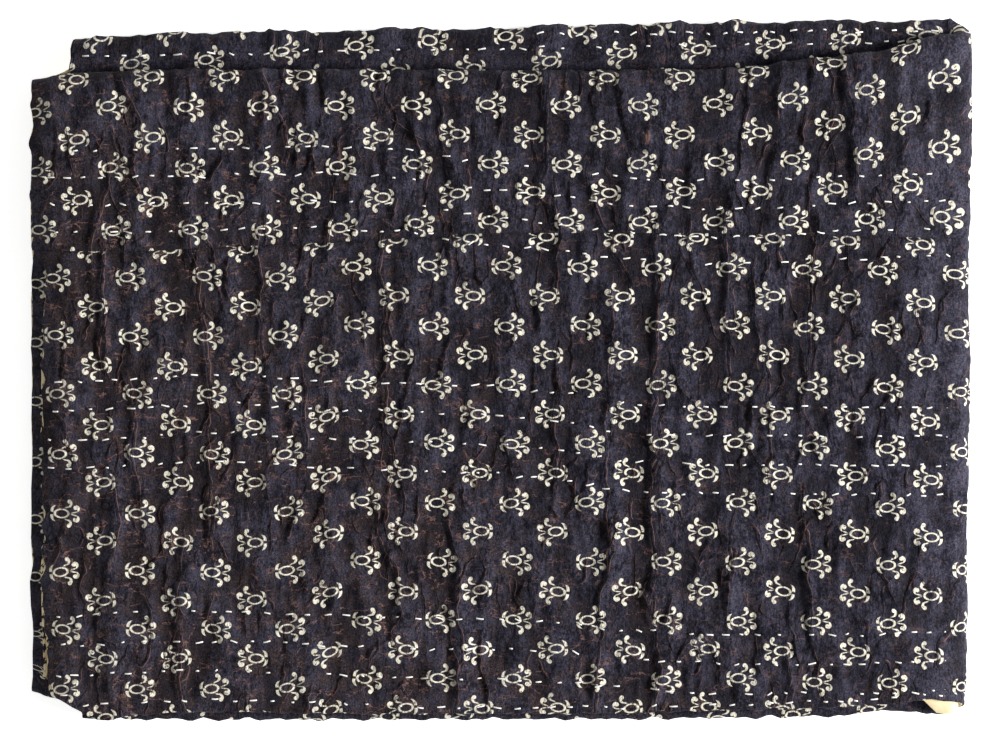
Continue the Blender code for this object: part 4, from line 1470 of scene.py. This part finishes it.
def dash_tree(material):
    """Places an arched dash of thread on each point."""
    tree = bpy.data.node_groups.new("running stitch", "GeometryNodeTree")
    tree.interface.new_socket("Geometry", in_out="INPUT", socket_type="NodeSocketGeometry")
    for name in ("Thread radius", "Arch height"):
        tree.interface.new_socket(name, in_out="INPUT", socket_type="NodeSocketFloat")
    tree.interface.new_socket("Geometry", in_out="OUTPUT", socket_type="NodeSocketGeometry")
    source = add_node(tree, "NodeGroupInput")
    result = add_node(tree, "NodeGroupOutput")
    arch_top = add_node(tree, "ShaderNodeCombineXYZ")
    arch = add_node(tree, "GeometryNodeCurveQuadraticBezier")
    arch.inputs["Resolution"].default_value = DASH_STEPS
    arch.inputs["Start"].default_value = (-0.5, 0.0, 0.0)
    arch.inputs["End"].default_value = (0.5, 0.0, 0.0)
    circle = add_node(tree, "GeometryNodeCurvePrimitiveCircle")
    circle.inputs["Resolution"].default_value = DASH_SIDES
    tube = add_node(tree, "GeometryNodeCurveToMesh")
    tube.inputs["Fill Caps"].default_value = True
    way, out, length = (add_node(tree, "GeometryNodeInputNamedAttribute", data_type=kind) for kind in
                        ("FLOAT_VECTOR", "FLOAT_VECTOR", "FLOAT"))
    for node, name in ((way, "way"), (out, "out"), (length, "length")):
        node.inputs["Name"].default_value = name
    along = add_node(tree, "FunctionNodeAlignRotationToVector", axis="X")
    upright = add_node(tree, "FunctionNodeAlignRotationToVector", axis="Z", pivot_axis="X")
    stretch = add_node(tree, "ShaderNodeCombineXYZ")
    stretch.inputs["Y"].default_value = 1.0
    stretch.inputs["Z"].default_value = 1.0
    place = add_node(tree, "GeometryNodeInstanceOnPoints")
    real = add_node(tree, "GeometryNodeRealizeInstances")
    smooth = add_node(tree, "GeometryNodeSetShadeSmooth")
    paint = add_node(tree, "GeometryNodeSetMaterial")
    paint.inputs["Material"].default_value = material
    node_links(tree, (
        (source.outputs["Arch height"], arch_top.inputs["Z"]),
        (arch_top.outputs[0], arch.inputs["Middle"]),
        (source.outputs["Thread radius"], circle.inputs["Radius"]),
        (arch.outputs["Curve"], tube.inputs["Curve"]),
        (circle.outputs["Curve"], tube.inputs["Profile Curve"]),
        (way.outputs["Attribute"], along.inputs["Vector"]),
        (along.outputs["Rotation"], upright.inputs["Rotation"]),
        (out.outputs["Attribute"], upright.inputs["Vector"]),
        (length.outputs["Attribute"], stretch.inputs["X"]),
        (source.outputs["Geometry"], place.inputs["Points"]),
        (tube.outputs["Mesh"], place.inputs["Instance"]),
        (upright.outputs["Rotation"], place.inputs["Rotation"]),
        (stretch.outputs[0], place.inputs["Scale"]),
        (place.outputs["Instances"], real.inputs["Geometry"]),
        (real.outputs["Geometry"], smooth.inputs["Geometry"]),
        (smooth.outputs["Geometry"], paint.inputs["Geometry"]),
        (paint.outputs["Geometry"], result.inputs["Geometry"]),
    ))
    return tree


def points_object(name, centres, ways, outs):
    """A mesh of loose points that carry each dash's direction, way out of the cloth, and length."""
    mesh = bpy.data.meshes.new(name)
    mesh.from_pydata(centres.tolist(), [], [])
    for key, values in (("way", ways), ("out", outs)):
        mesh.attributes.new(key, "FLOAT_VECTOR", "POINT").data.foreach_set("vector", values.reshape(-1))
    lengths = np.linalg.norm(ways, axis=1)
    mesh.attributes.new("length", "FLOAT", "POINT").data.foreach_set("value", lengths)
    piece = bpy.data.objects.new(name, mesh)
    bpy.context.scene.collection.objects.link(piece)
    return piece


def apply_tree(piece, tree, settings):
    """Runs a node tree on a piece and keeps its result as a plain mesh."""
    modifier = piece.modifiers.new(tree.name, "NODES")
    modifier.node_group = tree
    for socket in tree.interface.items_tree:
        if socket.in_out == "INPUT" and socket.name in settings:
            modifier[socket.identifier] = settings[socket.name]
    evaluated = piece.evaluated_get(bpy.context.evaluated_depsgraph_get())
    mesh = bpy.data.meshes.new_from_object(evaluated)
    mesh.name = piece.name
    piece.modifiers.remove(modifier)
    piece.data = mesh
    return piece


def running_stitch():
    centres, ways, outs = all_stitches()
    outs = outs / np.linalg.norm(outs, axis=1)[:, None]
    centres = centres - np.array((*THROW_MIDDLE, 0.0)) + outs * THREAD_LIFT
    piece = points_object("running_stitch", (centres * MM).astype(np.float32), (ways * MM).astype(np.float32),
                          outs.astype(np.float32))
    sizes_of_dash = {"Thread radius": THREAD_RADIUS * MM, "Arch height": THREAD_ARCH * MM}
    apply_tree(piece, dash_tree(THREAD), sizes_of_dash)
    triangles = sum(len(face.vertices) - 2 for face in piece.data.polygons)
    print("stitches:", len(centres), "triangles:", triangles)
    return piece


stitches = running_stitch()

# %% [markdown]
# ## Floor and light
# The throw lies on a plain pale floor. One wide lamp stands low at the right, so each wrinkle has a bright
# side and a dark side, and an even sky fills the shadows. The floor glows a little, as a light table does,
# which keeps it white right up to the cloth.

# %% Floor, lamp and sky
FLOOR_SIZE = 6.0
FLOOR_COLOUR = (0.93, 0.93, 0.93, 1.0)
FLOOR_GLOW = 0.7
LAMP_DISTANCE, LAMP_SIZE, LAMP_POWER = 4.5, 1.5, 350.0
LAMP_LEAN, LAMP_BEARING = math.radians(57), math.radians(-6)
SKY_STRENGTH = 0.38


def add_floor():
    material, _, shader = new_material("pale floor")
    shader.inputs["Base Color"].default_value = FLOOR_COLOUR
    shader.inputs["Roughness"].default_value = 0.9
    shader.inputs["Emission Color"].default_value = (1.0, 1.0, 1.0, 1.0)
    shader.inputs["Emission Strength"].default_value = FLOOR_GLOW
    half = FLOOR_SIZE / 2
    mesh = bpy.data.meshes.new("floor")
    corners = [(-half, -half, 0), (half, -half, 0), (half, half, 0), (-half, half, 0)]
    mesh.from_pydata(corners, [], [(0, 1, 2, 3)])
    mesh.materials.append(material)
    floor = bpy.data.objects.new("floor", mesh)
    bpy.context.scene.collection.objects.link(floor)


def add_lamp():
    """A square lamp that faces the middle of the throw."""
    data = bpy.data.lights.new("lamp at the right", "AREA")
    data.shape = "SQUARE"
    data.size = LAMP_SIZE
    data.energy = LAMP_POWER
    lamp = bpy.data.objects.new("lamp at the right", data)
    level = LAMP_DISTANCE * math.sin(LAMP_LEAN)
    lamp.location = (level * math.cos(LAMP_BEARING), level * math.sin(LAMP_BEARING),
                     LAMP_DISTANCE * math.cos(LAMP_LEAN))
    lamp.rotation_euler = (0.0, LAMP_LEAN, LAMP_BEARING)
    bpy.context.scene.collection.objects.link(lamp)


def add_sky(strength):
    world = bpy.data.worlds.new("even sky")
    bpy.context.scene.world = world
    world.use_nodes = True
    background = world.node_tree.nodes["Background"]
    background.inputs["Color"].default_value = (1.0, 1.0, 1.0, 1.0)
    background.inputs["Strength"].default_value = strength


add_floor()
add_lamp()
add_sky(SKY_STRENGTH)
bpy.context.scene.view_settings.view_transform = "Standard"

# %% [markdown]
# ## Join the pieces to the frame
# Each cloth stands for one solid of the model and rides on its body.

# %% Ride and replace
pieces = (
    (hem_panel, "hem_panel", "printed_cotton", (1.29, 0.32)),
    (main_panel, "main_panel", "printed_cotton", (1.29, 1.46)),
    (backing, "backing_cloth", "cream_cotton", (1.29, 1.78)),
)
for piece, node, slot, flat in pieces:
    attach(piece, "root")
    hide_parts(node)
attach(stitches, "root")
